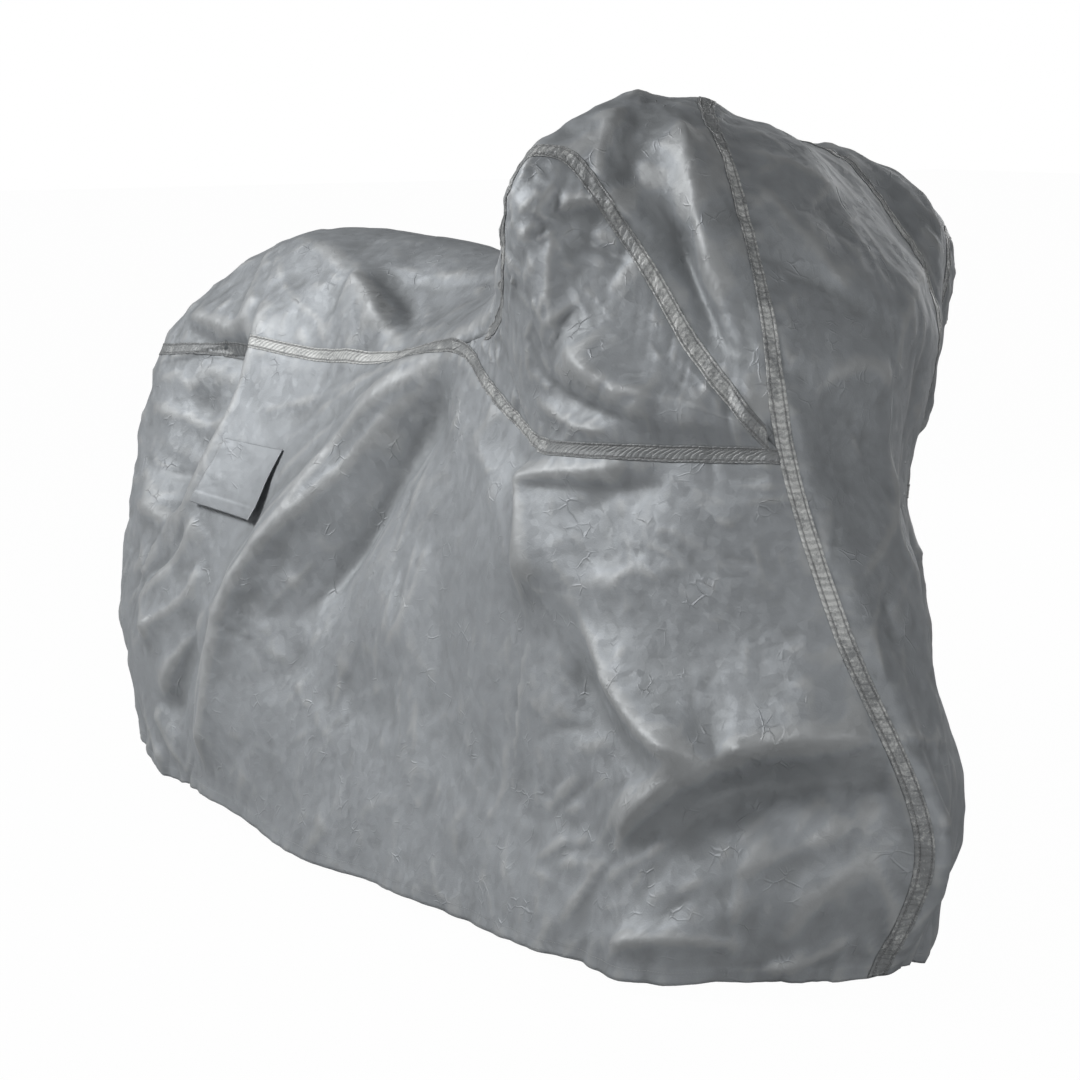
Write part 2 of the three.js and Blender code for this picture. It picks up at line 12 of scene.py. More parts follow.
import bmesh
import bpy
import numpy as np
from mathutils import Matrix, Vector


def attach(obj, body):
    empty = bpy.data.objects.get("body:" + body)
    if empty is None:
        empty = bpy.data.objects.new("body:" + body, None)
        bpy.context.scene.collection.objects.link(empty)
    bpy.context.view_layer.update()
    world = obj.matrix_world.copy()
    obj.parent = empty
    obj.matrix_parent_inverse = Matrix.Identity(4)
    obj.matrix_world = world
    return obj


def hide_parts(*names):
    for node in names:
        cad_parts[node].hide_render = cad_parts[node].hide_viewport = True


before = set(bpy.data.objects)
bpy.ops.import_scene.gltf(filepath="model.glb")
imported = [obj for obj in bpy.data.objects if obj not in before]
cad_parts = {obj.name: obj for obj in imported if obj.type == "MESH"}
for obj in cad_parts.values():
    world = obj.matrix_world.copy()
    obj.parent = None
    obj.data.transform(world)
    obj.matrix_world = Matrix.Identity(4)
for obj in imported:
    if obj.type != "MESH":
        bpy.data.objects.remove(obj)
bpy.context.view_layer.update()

Array = np.ndarray
LOG = logging.getLogger("cover")
MM = 0.001
BODY = "root"


class Side(IntEnum):
    """The two sides of the machine, with the sign of their Y."""

    RIGHT = -1
    LEFT = 1


LEAN = math.radians(10.0)       # the machine leans this far to its left
LEAN_FROM = 30.0                # height from which the leaning sides rise and sink
LEAN_FULL = 700.0               # height over which that grows to its full amount
LOW = 250.0                     # height of the level 'low'
MID = 505.0                     # height of the level 'mid'
ORIGIN = np.array([-79.6, 145.7, 11.8])   # in the frame of the tables below
TAIL, NOSE = 0, 13              # first and last station
HEM, WAIST, SPINE = 0, 3, 6     # levels of the hem, the long side seam and the spine
FORK, FRONT = 6, 11             # stations where the gusset starts and where the front seam runs
GUSSET_TIP = 0.12               # the gusset's blunt points stop this short, in stations
SEAM_GAP = 0.4                  # between two panels along a seam
TAPE_HALF = 12.0                # half the width of a seam tape


@dataclass(frozen=True)
class Station:
    """One section: how far forward, how far out and how high each place is, before the lean."""

    name: str
    hem: tuple
    low: tuple
    mid: tuple
    waist: tuple
    shoulder: tuple
    brow: tuple
    spine: tuple


STATIONS = (
    Station("tail_middle", (-1005, 0, 85), (-1130, 0), (-1200, 0),
            (-1175, 0, 765), (-1120, 0, 880), (-1050, 0, 950), (-960, 990)),
    Station("tail_turn", (-1005, 130, 85), (-1115, 145), (-1180, 155),
            (-1145, 135, 765), (-1095, 105, 880), (-1020, 60, 955), (-935, 1000)),
    Station("tail_corner", (-970, 225, 90), (-1050, 235), (-1090, 245),
            (-1060, 220, 765), (-1020, 165, 885), (-945, 95, 975), (-880, 1010)),
    Station("tail_side", (-805, 260, 50), (-860, 300), (-855, 290),
            (-810, 235, 790), (-795, 175, 935), (-780, 105, 1012), (-765, 1035)),
    Station("seat_rear", (-540, 300, 45), (-535, 320), (-515, 300),
            (-505, 235, 790), (-505, 170, 930), (-495, 85, 1007), (-490, 1027)),
    Station("seat_middle", (-275, 335, 18), (-270, 330), (-265, 300),
            (-260, 240, 800), (-255, 170, 925), (-255, 85, 997), (-250, 1012)),
    Station("seat_front", (-30, 335, 15), (-30, 335), (-30, 315),
            (-30, 280, 830), (-75, 180, 950), (-90, 90, 997), (-100, 1005)),
    Station("bar_back", (170, 340, 15), (165, 345), (155, 345),
            (135, 330, 770), (195, 385, 1005), (130, 195, 1095), (55, 1085)),
    Station("bar_end", (355, 345, 12), (345, 355), (325, 360),
            (295, 350, 705), (285, 440, 1085), (240, 240, 1202), (125, 1155)),
    Station("bar_front", (540, 360, 18), (520, 360), (485, 370),
            (440, 365, 698), (365, 395, 1085), (275, 255, 1246), (165, 1195)),
    Station("cheek", (745, 335, 20), (755, 325), (670, 335),
            (610, 325, 710), (495, 290, 1075), (320, 220, 1248), (190, 1218)),
    Station("front_seam", (965, 125, 45), (1030, 135), (880, 205),
            (765, 250, 730), (645, 240, 965), (390, 175, 1228), (215, 1232)),
    Station("nose_turn", (950, 60, 50), (1005, 80), (890, 110),
            (780, 145, 722), (672, 135, 975), (425, 100, 1203), (270, 1242)),
    Station("nose_middle", (930, 10, 45), (965, 25), (870, 20),
            (755, 30, 705), (668, 10, 972), (435, 0, 1192), (318, 1238)),
)


@dataclass(frozen=True)
class LeftChange:
    """How a left section differs at its foot, waist, shoulder and brow, and how far the brow hangs lower."""

    back: tuple
    wider: tuple
    lower: float


LEFT_SIDE = {
    "tail_turn": LeftChange((0, 0, 0, 0), (0, 5, 20, 25), 0),
    "tail_corner": LeftChange((0, 0, 0, 0), (-10, 10, 25, 30), 0),
    "tail_side": LeftChange((0, 0, 0, 0), (-10, 15, 30, 30), 0),
    "seat_rear": LeftChange((0, 0, 0, 0), (-10, 15, 30, 30), 0),
    "seat_middle": LeftChange((0, 0, 0, 0), (-10, 15, 30, 30), 0),
    "seat_front": LeftChange((0, 0, 0, 0), (-10, 10, 20, 25), 0),
    "bar_back": LeftChange((10, 10, 0, 0), (5, 15, 30, 20), 0),
    "bar_end": LeftChange((20, 20, 0, 15), (0, 15, 20, 15), -5),
    "bar_front": LeftChange((50, 60, 20, 25), (0, -5, 20, 15), 25),
    "cheek": LeftChange((155, 160, 80, 45), (-30, -40, 25, 15), 25),
    "front_seam": LeftChange((235, 205, 135, 65), (0, -65, 15, 5), 20),
    "nose_turn": LeftChange((105, 125, 60, 40), (-10, -50, -5, -5), 10),
}

GUSSET_EVERY = 0.5              # stations between the gusset's levels below
GUSSET_LEVELS = np.array([3.0, 3.22, 3.42, 3.78, 4.1, 4.17, 4.12, 3.8, 3.5, 3.3, 3.0])


@dataclass(frozen=True)
class Fold:
    """A fold's crest from a place over a halfway place to another, its rise and its two falls."""

    name: str
    side: Side
    start: tuple
    half: tuple
    end: tuple
    rise: float
    left: float
    right: float
    rounding: float = 0.3


R, L = Side.RIGHT, Side.LEFT
FOLDS = (
    Fold("side ridge", R, (5.9, 3.0), (4.35, 2.0), (3.75, 0.1), 30, 45, 90),
    Fold("side trough", R, (6.0, 2.8), (5.2, 2.15), (4.7, 1.4), -20, 60, 45),
    Fold("tail hollow", R, (2.6, 2.8), (2.95, 2.3), (3.1, 1.9), -30, 90, 80),
    Fold("tail foot hollow", R, (3.6, 1.5), (3.5, 1.0), (3.3, 0.4), -28, 45, 60),
    Fold("tail pleat", R, (2.5, 1.75), (2.9, 1.45), (3.2, 1.1), 14, 40, 35),
    Fold("seat edge", R, (3.1, 4.6), (4.1, 3.95), (4.8, 3.15), 16, 45, 80),
    Fold("seat dip", R, (4.3, 4.5), (4.9, 3.9), (5.3, 3.3), -16, 80, 50),
    Fold("belly ridge", R, (8.1, 2.95), (8.3, 2.45), (8.55, 1.9), 16, 55, 60),
    Fold("belly hollow", R, (9.2, 2.85), (9.3, 2.5), (9.4, 2.1), -12, 60, 70),
    Fold("gusset crest", R, (8.9, 3.45), (9.7, 3.17), (10.6, 3.16), 22, 60, 35),
    Fold("gusset corner", R, (8.4, 4.0), (8.4, 3.7), (8.6, 3.35), 10, 45, 40),
    Fold("lever hollow", R, (8.6, 3.9), (9.0, 3.88), (9.4, 3.85), -16, 40, 45),
    Fold("peak trough", R, (9.1, 4.4), (9.85, 3.9), (10.5, 3.35), -18, 45, 45),
    Fold("peak ridge", R, (10.2, 4.7), (10.2, 4.05), (10.7, 3.5), 14, 45, 40),
    Fold("skirt crest", R, (9.5, 0.78), (10.1, 1.25), (10.95, 1.48), 30, 110, 40),
    Fold("skirt fold", R, (9.25, 1.7), (9.7, 1.45), (10.15, 1.25), 16, 70, 40),
    Fold("skirt turn", R, (9.1, 0.12), (10.3, 0.5), (10.85, 1.1), 16, 60, 60),
    Fold("left ridge", L, (6.4, 2.9), (5.4, 1.8), (5.1, 0.2), 24, 80, 60),
    Fold("left trough", L, (7.4, 2.9), (7.2, 1.7), (6.6, 0.3), -18, 70, 80),
    Fold("left front ridge", L, (9.0, 3.4), (9.3, 1.9), (9.4, 0.3), 20, 70, 70),
    Fold("left crest", L, (3.0, 2.4), (3.9, 1.6), (4.2, 0.4), 16, 70, 60),
    Fold("front trough", L, (12.0, 4.0), (12.2, 3.2), (12.4, 2.4), -14, 45, 60),
)
FOLD_STEPS = 12                 # points along a fold that distances are taken to
SHARP = 0.1                     # rounding up to which a crest is sharp, with straighter flanks


def crease(name: str, start: tuple, half: tuple, end: tuple, rise: float, left: float, right: float,
           side: Side = R) -> Fold:
    """A fold with a sharp crest."""
    return Fold(name, side, start, half, end, rise, left, right, rounding=0.08)


CREASES = (
    crease("tail cap edge", (3.2, 3.6), (3.42, 2.6), (3.15, 1.75), 34, 110, 40),
    crease("tail tuck", (2.15, 3.45), (2.6, 3.25), (3.0, 3.05), 15, 34, 24),
    crease("tail tuck end", (3.0, 3.05), (3.05, 3.3), (3.1, 3.6), 13, 28, 34),
    crease("tail tuck valley", (2.3, 3.25), (2.8, 3.0), (3.2, 2.95), -14, 28, 28),
    crease("tail side upper", (2.05, 2.6), (2.8, 2.5), (3.2, 2.6), 8, 26, 24),
    crease("tail side middle", (2.2, 2.25), (2.9, 2.18), (3.25, 2.26), -8, 26, 24),
    crease("tail side lower", (2.3, 1.95), (2.9, 1.92), (3.2, 2.05), 10, 26, 24),
    crease("tail low ridge", (3.45, 2.0), (3.3, 1.65), (2.85, 1.3), 17, 50, 28),
    crease("tail low valley", (3.3, 1.95), (3.1, 1.65), (2.55, 1.4), -14, 26, 28),
    crease("tail low second", (3.5, 1.7), (3.4, 1.4), (2.75, 1.05), 14, 34, 32),
    crease("tail hem first", (2.8, 0.6), (2.95, 0.3), (3.2, 0.1), 11, 25, 20),
    crease("tail hem second", (3.15, 0.65), (3.25, 0.38), (3.5, 0.08), 13, 25, 22),
    crease("tail hollow edge", (3.75, 1.45), (3.45, 1.1), (3.25, 0.65), 24, 40, 60),
    crease("tail dish", (3.0, 3.25), (3.12, 2.5), (2.9, 1.8), -50, 30, 150),
    Fold("crown", R, (10.0, 5.9), (10.6, 5.6), (11.3, 5.3), 12, 80, 80),
    Fold("nose foot right", R, (11.6, 0.1), (12.3, 0.12), (13.0, 0.15), 20, 80, 90),
    Fold("nose foot left", L, (11.2, 0.1), (12.1, 0.12), (13.0, 0.15), 24, 80, 90),
    Fold("left front hollow", L, (9.4, 3.2), (9.8, 2.6), (10.0, 1.9), -24, 90, 90),
    crease("side ridge foot", (4.1, 1.6), (4.0, 1.0), (3.8, 0.12), 42, 100, 50),
    crease("seat edge rear", (2.75, 4.85), (3.5, 4.3), (3.95, 3.9), 10, 45, 70),
    crease("seat edge front", (3.95, 3.9), (4.35, 3.7), (4.8, 3.15), 26, 28, 80),
    crease("seat shadow", (4.1, 4.0), (4.6, 3.75), (4.95, 3.2), -16, 50, 28),
    crease("seat side first", (3.05, 4.2), (3.5, 3.55), (4.2, 3.2), 3.5, 18, 16),
    crease("seat side second", (3.3, 4.3), (3.8, 3.8), (4.15, 3.2), -3.5, 16, 18),
    crease("seat far first", (4.2, 4.4), (4.7, 4.36), (5.2, 4.5), 4, 20, 30),
    crease("seat far second", (4.6, 4.15), (5.0, 4.15), (5.4, 4.2), -3, 20, 20),
    crease("fan first", (5.6, 2.98), (4.3, 2.75), (3.6, 2.55), 4, 20, 20),
    crease("fan second", (5.9, 2.98), (4.75, 2.82), (4.0, 2.45), 5, 30, 22),
    crease("fan third", (5.9, 2.98), (4.55, 2.55), (4.0, 2.1), 6, 35, 25),
    crease("fan fourth", (5.9, 2.96), (4.4, 2.2), (3.8, 1.25), 7, 20, 30),
    crease("side ridge crest", (5.95, 2.98), (4.45, 2.0), (4.0, 1.3), 30, 70, 60),
    crease("side ridge shadow", (6.0, 2.88), (5.35, 2.35), (4.8, 1.5), -30, 90, 60),
    crease("belly edge", (8.05, 2.95), (8.3, 2.5), (8.15, 1.7), 38, 190, 60),
    crease("belly fold", (6.55, 2.8), (7.45, 2.45), (8.0, 1.95), 8, 50, 50),
    crease("belly foot", (6.15, 2.2), (6.1, 1.75), (5.7, 1.4), 9, 50, 50),
    crease("gusset edge", (8.8, 3.85), (8.7, 3.55), (8.85, 3.45), 12, 34, 24),
    crease("scoop crest", (8.85, 3.46), (9.45, 3.28), (10.1, 3.2), 32, 80, 60),
    crease("scoop crest end", (9.85, 3.22), (10.35, 3.2), (10.8, 3.08), 18, 60, 40),
    crease("scoop foot first", (8.1, 3.2), (8.9, 3.12), (9.4, 3.08), 10, 20, 16),
    crease("scoop foot second", (8.4, 3.28), (9.1, 3.2), (9.7, 3.12), -10, 18, 20),
    crease("lever fold", (8.75, 3.84), (9.2, 3.93), (9.55, 3.86), 22, 34, 18),
    crease("lever shadow", (8.9, 3.8), (9.3, 3.74), (9.55, 3.7), -14, 20, 40),
    crease("peak fold", (9.4, 4.7), (9.28, 4.28), (9.35, 4.0), 18, 20, 45),
    crease("peak fold second", (9.55, 4.26), (9.83, 4.04), (10.1, 3.88), 11, 28, 22),
    crease("peak crest", (10.35, 4.9), (10.15, 4.06), (10.55, 3.5), 16, 45, 30),
    crease("peak valley", (9.75, 4.16), (10.03, 3.76), (10.45, 3.48), -24, 26, 36),
    crease("peak tip", (10.2, 3.52), (10.55, 3.5), (10.8, 3.52), -6, 15, 20),
    crease("front top edge", (11.2, 4.76), (12.4, 4.75), (12.95, 4.6), 14, 60, 80),
    crease("front slant", (11.3, 4.6), (11.85, 4.3), (12.5, 3.95), 10, 50, 40),
    crease("front slant low", (11.1, 4.2), (12.05, 4.04), (12.8, 3.9), -8, 40, 40),
    crease("front corner", (11.55, 3.4), (12.4, 3.62), (12.95, 3.5), 16, 50, 36),
    crease("front lower turn", (12.9, 3.3), (12.6, 2.75), (11.3, 2.25), 18, 40, 50),
    crease("pouch crest", (7.95, 2.82), (8.95, 2.88), (9.6, 2.94), 12, 18, 36),
    crease("pouch valley", (8.1, 2.78), (9.2, 2.78), (10.0, 2.88), -9, 24, 24),
    crease("skirt tip", (9.0, 1.95), (9.6, 1.48), (10.15, 1.28), 22, 60, 24),
    crease("skirt right", (10.1, 1.27), (10.5, 1.42), (10.95, 1.48), 30, 100, 24),
    crease("skirt underside", (10.0, 1.1), (10.4, 1.22), (10.9, 1.3), -16, 24, 50),
    crease("skirt left", (10.2, 1.28), (9.8, 1.06), (9.4, 0.68), 30, 26, 100),
    crease("skirt wedge", (8.8, 1.7), (9.35, 1.34), (9.95, 1.16), -20, 30, 90),
    crease("skirt lower", (10.85, 1.2), (10.5, 0.95), (10.1, 0.6), 14, 34, 80),
    crease("skirt front", (10.75, 0.9), (10.55, 0.6), (10.45, 0.2), 14, 34, 50),
    crease("hem fold first", (9.5, 0.16), (10.0, 0.28), (10.35, 0.24), 12, 18, 18),
    crease("hem fold second", (10.4, 0.1), (10.6, 0.16), (10.75, 0.38), 13, 18, 18),
    crease("low facet rear", (4.3, 1.15), (5.4, 1.05), (6.4, 1.1), -14, 150, 170),
    crease("low facet middle", (6.2, 1.1), (7.1, 1.0), (8.0, 1.0), -13, 150, 170),
    crease("low facet front", (7.8, 1.0), (8.5, 0.9), (9.3, 0.7), -12, 150, 150),
    crease("left front turn", (10.2, 4.4), (12.4, 4.1), (12.85, 3.5), 9, 30, 30, side=L),
    crease("left rear fan", (6.0, 2.95), (4.6, 2.5), (3.9, 1.6), 9, 40, 30, side=L),
    crease("left rear fan low", (6.1, 2.9), (5.0, 2.0), (4.7, 1.0), -8, 35, 30, side=L),
    crease("left belly edge", (8.4, 2.95), (8.0, 2.2), (8.3, 1.3), 10, 50, 35, side=L),
    crease("left tail edge", (2.9, 3.5), (3.1, 2.5), (2.8, 1.5), 12, 45, 80, side=L),
    crease("left skirt", (8.6, 0.3), (9.5, 1.1), (10.6, 1.3), 13, 45, 25, side=L),
    crease("left pocket", (8.6, 3.5), (9.4, 3.3), (10.5, 3.2), 12, 18, 45, side=L),
    crease("left pocket low", (7.2, 3.3), (8.2, 3.25), (9.3, 3.1), -9, 20, 20, side=L),
    crease("left peak", (9.2, 4.9), (9.6, 4.4), (10.2, 3.7), 10, 25, 40, side=L),
    crease("left seat", (3.6, 4.6), (4.4, 3.9), (5.0, 3.2), 9, 45, 30, side=L),
)


@dataclass(frozen=True)
class Fan:
    """Many short creases that all point at one place, as cloth shows where it is pulled.

    They start between two stations and two levels, and turn off their line by up to a few tenths
    of a radian (loose). Lengths, heights and widths are in millimetres.
    """

    name: str
    pull: tuple
    stations: tuple
    levels: tuple
    count: int
    height: float
    width: float
    length: tuple
    loose: float


FANS = (
    Fan("tail side", (5.5, 2.3), (0.2, 3.2), (1.3, 3.0), 60, 3.4, 14, (60, 150), 0.4),
    Fan("tail foot", (4.2, 2.4), (0.2, 3.6), (0.1, 1.7), 60, 4.5, 16, (60, 160), 0.5),
    Fan("tail top", (3.3, 4.7), (0.2, 3.2), (3.1, 5.6), 50, 2.8, 14, (50, 140), 0.6),
    Fan("seat side", (3.4, 4.7), (2.7, 5.6), (3.1, 4.4), 45, 2.0, 12, (50, 140), 0.4),
    Fan("seat top", (8.0, 5.0), (3.2, 7.5), (4.3, 6.0), 40, 1.3, 16, (60, 200), 0.4),
    Fan("fork", (6.0, 3.0), (3.5, 6.2), (1.1, 2.95), 60, 2.1, 13, (90, 260), 0.12),
    Fan("belly", (7.6, 3.3), (5.6, 8.3), (1.0, 2.9), 60, 1.1, 9, (60, 180), 0.35),
    Fan("pocket back", (8.2, 4.15), (6.4, 8.9), (3.08, 4.1), 170, 2.4, 7, (25, 100), 0.8),
    Fan("pocket front", (11.0, 3.0), (8.8, 10.8), (3.05, 3.9), 60, 1.9, 9, (40, 150), 0.35),
    Fan("under the pocket", (8.0, 3.0), (7.9, 11.0), (2.2, 2.95), 60, 1.7, 10, (50, 160), 0.5),
    Fan("side front", (11.0, 2.0), (8.5, 11.0), (1.3, 2.4), 70, 1.1, 7, (30, 100), 1.2),
    Fan("skirt", (11.0, 1.5), (8.5, 11.0), (0.05, 1.4), 80, 3.1, 13, (60, 200), 0.3),
    Fan("low side", (7.5, 3.0), (3.8, 8.8), (0.05, 1.3), 90, 1.5, 12, (40, 150), 0.9),
    Fan("peak", (9.6, 5.3), (8.0, 11.0), (4.15, 6.0), 55, 2.4, 12, (50, 150), 0.5),
    Fan("neck", (7.4, 5.2), (5.6, 8.2), (4.0, 6.0), 45, 2.2, 14, (50, 160), 0.4),
    Fan("front top", (11.0, 6.0), (11.0, 13.0), (3.2, 6.0), 55, 2.0, 14, (60, 220), 0.35),
    Fan("front foot", (11.6, 4.6), (11.0, 13.0), (0.1, 3.2), 60, 2.8, 15, (70, 240), 0.3),
)


def ramp(t: Array) -> Array:
    """Eased step from 0 to 1: 3t^2 - 2t^3, held at its ends."""
    c = np.clip(t, 0.0, 1.0)
    return c * c * (3.0 - 2.0 * c)


def curve_weights(t: Array) -> tuple:
    """The four weights of a cubic that passes through its points (Catmull-Rom)."""
    return (
        -0.5 * t + t * t - 0.5 * t**3,
        1.0 - 2.5 * t * t + 1.5 * t**3,
        0.5 * t + 2.0 * t * t - 1.5 * t**3,
        -0.5 * t * t + 0.5 * t**3,
    )


def unit(v: Array) -> Array:
    """Each vector divided by its length."""
    return v / np.maximum(np.linalg.norm(v, axis=-1, keepdims=True), 1e-9)


def gusset_top(station: Array) -> Array:
    """Level of the gusset's upper seam at each station, a cubic through GUSSET_LEVELS."""
    place = (np.asarray(station, float) - FORK) / GUSSET_EVERY
    last = len(GUSSET_LEVELS) - 1
    i = np.clip(np.floor(place).astype(int), 0, last - 1)
    return sum(
        w * GUSSET_LEVELS[np.clip(i + k - 1, 0, last)]
        for k, w in enumerate(curve_weights(place - i))
    )


class Form:
    """The smooth draped form: a net of curves through the stations of both sides, without folds."""

    def __init__(self) -> None:
        """Builds both nets, each with one more row all round so that the form runs on smoothly."""
        plain = {side: np.array([self.section(s, side) for s in STATIONS]) for side in Side}
        nets = []
        for side in (Side.RIGHT, Side.LEFT):
            own, other = plain[side], plain[Side(-side)]
            rows = np.concatenate([other[1:2], own, other[NOSE - 1:NOSE]])
            across = np.concatenate([own[1:2], other, own[NOSE - 1:NOSE]])
            below = 2.0 * rows[:, :1] - rows[:, 1:2]
            nets.append(np.concatenate([below, rows, across[:, SPINE - 1:SPINE]], axis=1))
        self.nets = np.stack(nets)

    @staticmethod
    def section(station: Station, side: Side) -> Array:
        """A section's seven control points on one side, leaned with the machine.

        Args:
            station: The section before the lean.
            side: The side it is on.

        Returns:
            Points (7, 3), from the hem to the spine.
        """
        s = station
        upright = np.array([s.hem, (*s.low, LOW), (*s.mid, MID), s.waist, s.shoulder, s.brow,
                            (s.spine[0], 0.0, s.spine[1])], float)
        change = LEFT_SIDE.get(s.name) if side == Side.LEFT else None
        sign = Side.RIGHT
        if change:
            parts = [0, 0, 1, 1, 2, 3]
            upright[:SPINE, 0] -= np.take(change.back, parts)
            upright[:SPINE, 1] += np.take(change.wider, parts)
            upright[SPINE - 1, 2] -= change.lower
            sign = Side.LEFT
        y, z = sign * upright[:, 1], upright[:, 2]
        sink = y * math.sin(LEAN) * ramp((z - LEAN_FROM) / LEAN_FULL)
        return np.stack([upright[:, 0], y + z * math.tan(LEAN), z - sink], axis=-1) - ORIGIN

    def point(self, side: Array, station: Array, level: Array) -> Array:
        """Places on the smooth form: cubic in station and in level.

        Args:
            side: Side of each place, as its sign.
            station: Station of each place.
            level: Level of each place.

        Returns:
            Points in millimetres, one more axis than the input.
        """
        side, station, level = np.broadcast_arrays(side, station, level)
        k = (side.astype(int) + 1) // 2
        i = np.clip(np.floor(station).astype(int), TAIL, NOSE - 1)
        j = np.clip(np.floor(level).astype(int), HEM, SPINE - 1)
        total = np.zeros(station.shape + (3,))
        along, up = curve_weights(station - i), curve_weights(level - j)
        for a in range(4):
            for b in range(4):
                total += (along[a] * up[b])[..., None] * self.nets[k, i + a, j + b]
        return total

    def side_normal(self, side: Array, station: Array, level: Array) -> Array:
        """Outward direction on one side, taken a little inside the form's ends."""
        step, inset = 0.05, 0.2
        s = np.clip(station, TAIL + inset, NOSE - inset)
        v = np.clip(level, HEM + step, SPINE - inset)
        along = self.point(side, s + step, v) - self.point(side, s - step, v)
        up = self.point(side, s, v + step) - self.point(side, s, v - step)
        return unit(np.cross(along, up) * -np.asarray(side, float)[..., None])

    def normal(self, side: Array, station: Array, level: Array) -> Array:
        """Outward direction, the same from both sides where they meet."""
        side, station, level = np.broadcast_arrays(side, station, level)
        meeting = np.minimum(np.minimum(station - TAIL, NOSE - station), SPINE - level)
        own = (0.5 + 0.5 * ramp(meeting / 0.5))[..., None]
        return unit(own * self.side_normal(side, station, level)
                    + (1.0 - own) * self.side_normal(-side, station, level))

    def stretch(self, side: Array, station: Array, level: Array, du: float, dv: float) -> Array:
        """Millimetres for one unit of station (du) or of level (dv) at each place."""
        a = self.point(side, np.asarray(station) - du / 2, np.asarray(level) - dv / 2)
        b = self.point(side, np.asarray(station) + du / 2, np.asarray(level) + dv / 2)
        return np.linalg.norm(b - a, axis=-1) / math.hypot(du, dv)

    def shift_level(self, side: Array, station: Array, level: Array, distance: float) -> Array:
        """A level moved by some millimetres along the form."""
        return level + distance / self.stretch(side, station, level, 0.0, 0.2)

    def shift_station(self, side: Array, station: Array, level: Array, distance: float) -> Array:
        """A station moved by some millimetres along the form."""
        return station + distance / self.stretch(side, station, level, 0.2, 0.0)

    def gusset_slant(self, side: Array, station: Array) -> Array:
        """Millimetres square to the gusset's upper seam for one unit of level."""
        reach = 0.1
        before = np.maximum(station - reach, FORK)
        after = np.minimum(station + reach, FRONT)
        level = gusset_top(station)
        along = unit(self.point(side, after, gusset_top(after))
                     - self.point(side, before, gusset_top(before)))
        up = (self.point(side, station, level + 0.1) - self.point(side, station, level - 0.1)) / 0.2
        slant = np.linalg.norm(np.cross(along, unit(up)), axis=-1)
        return np.linalg.norm(up, axis=-1) * np.maximum(slant, 0.4)

    def top_edge(self, side: Array, station: Array, distance: float) -> Array:
        """Level of the top panel's lower edge, moved by some millimetres into the panel."""
        slanting = (station > FORK) & (station < FRONT)
        level = np.where(slanting, gusset_top(np.clip(station, FORK, FRONT)), float(WAIST))
        per_level = np.where(slanting, self.gusset_slant(side, np.clip(station, FORK, FRONT)),
                             self.stretch(side, station, level, 0.0, 0.2))
        return level + distance / per_level


def hashed(corner: Array, seed: int) -> Array:
    """A fixed, evenly spread value from -1 to 1 for each lattice corner (whole numbers mixed by bits)."""
    h = (corner[..., 0] * 73856093) ^ (corner[..., 1] * 19349663) ^ (corner[..., 2] * 83492791)
    h = (h ^ (seed * 2654435761)) & 0x7FFFFFFF
    h = ((h ^ (h >> 13)) * 1274126177) & 0x7FFFFFFF
    h = ((h ^ (h >> 11)) * 668265263) & 0x7FFFFFFF
    return ((h ^ (h >> 15)) & 0xFFFF) / 32767.5 - 1.0


def facets(points: Array, seed: int) -> Array:
    """Crisp flat facets, as in crumpled paper: random heights on a lattice of tetrahedra, joined
    by planes. A place's four corners and its shares of them come from its sorted lattice fractions.

    Args:
        points: Places in lattice units, (..., 3).
        seed: Picks the pattern.

    Returns:
        Heights from -1 to 1.
    """
    skewed = points + points.sum(axis=-1, keepdims=True) / 3.0
    base = np.floor(skewed).astype(np.int64)
    part = skewed - base
    order = np.argsort(-part, axis=-1)
    share = np.take_along_axis(part, order, axis=-1)
    corner = base
    height = (1.0 - share[..., 0]) * hashed(corner, seed)
    for k in range(3):
        corner = corner + (order[..., k, None] == np.arange(3))
        following = share[..., k + 1] if k < 2 else 0.0
        height = height + (share[..., k] - following) * hashed(corner, seed)
    return height


def turned(points: Array, turn: float) -> Array:
    """Points turned about a slanted axis, so that two patterns never line up."""
    axis = unit(np.array([0.48, 0.62, 0.62]))
    c, s = math.cos(turn), math.sin(turn)
    return c * points + s * np.cross(axis, points) + (1 - c) * (points @ axis)[..., None] * axis


@dataclass(frozen=True)
class Octave:
    """One size of crumple: facets of a size, with their height."""

    size: float
    height: float
    seed: int


@dataclass(frozen=True)
class Crumple:
    """The random crumple of stiff coated cloth: flats with sharp creases between, in four sizes."""

    octaves: tuple = (
        Octave(190.0, 8.5, 11),
        Octave(95.0, 3.2, 23),
        Octave(48.0, 1.1, 37),
        Octave(24.0, 0.45, 53),
    )
    bend: float = 24.0          # how far the whole pattern is bent, in millimetres

    def height(self, points: Array) -> Array:
        """Height of the crumple at each place.

        Args:
            points: Places in millimetres, (..., 3).

        Returns:
            Heights in millimetres.
        """
        bend = np.stack([facets(points / 130.0 + 9.1 * k, 80 + k) for k in range(3)], -1)
        bent = points + self.bend * bend
        return sum(o.height * facets(turned(bent, o.seed * 0.7) / o.size, o.seed) for o in self.octaves)


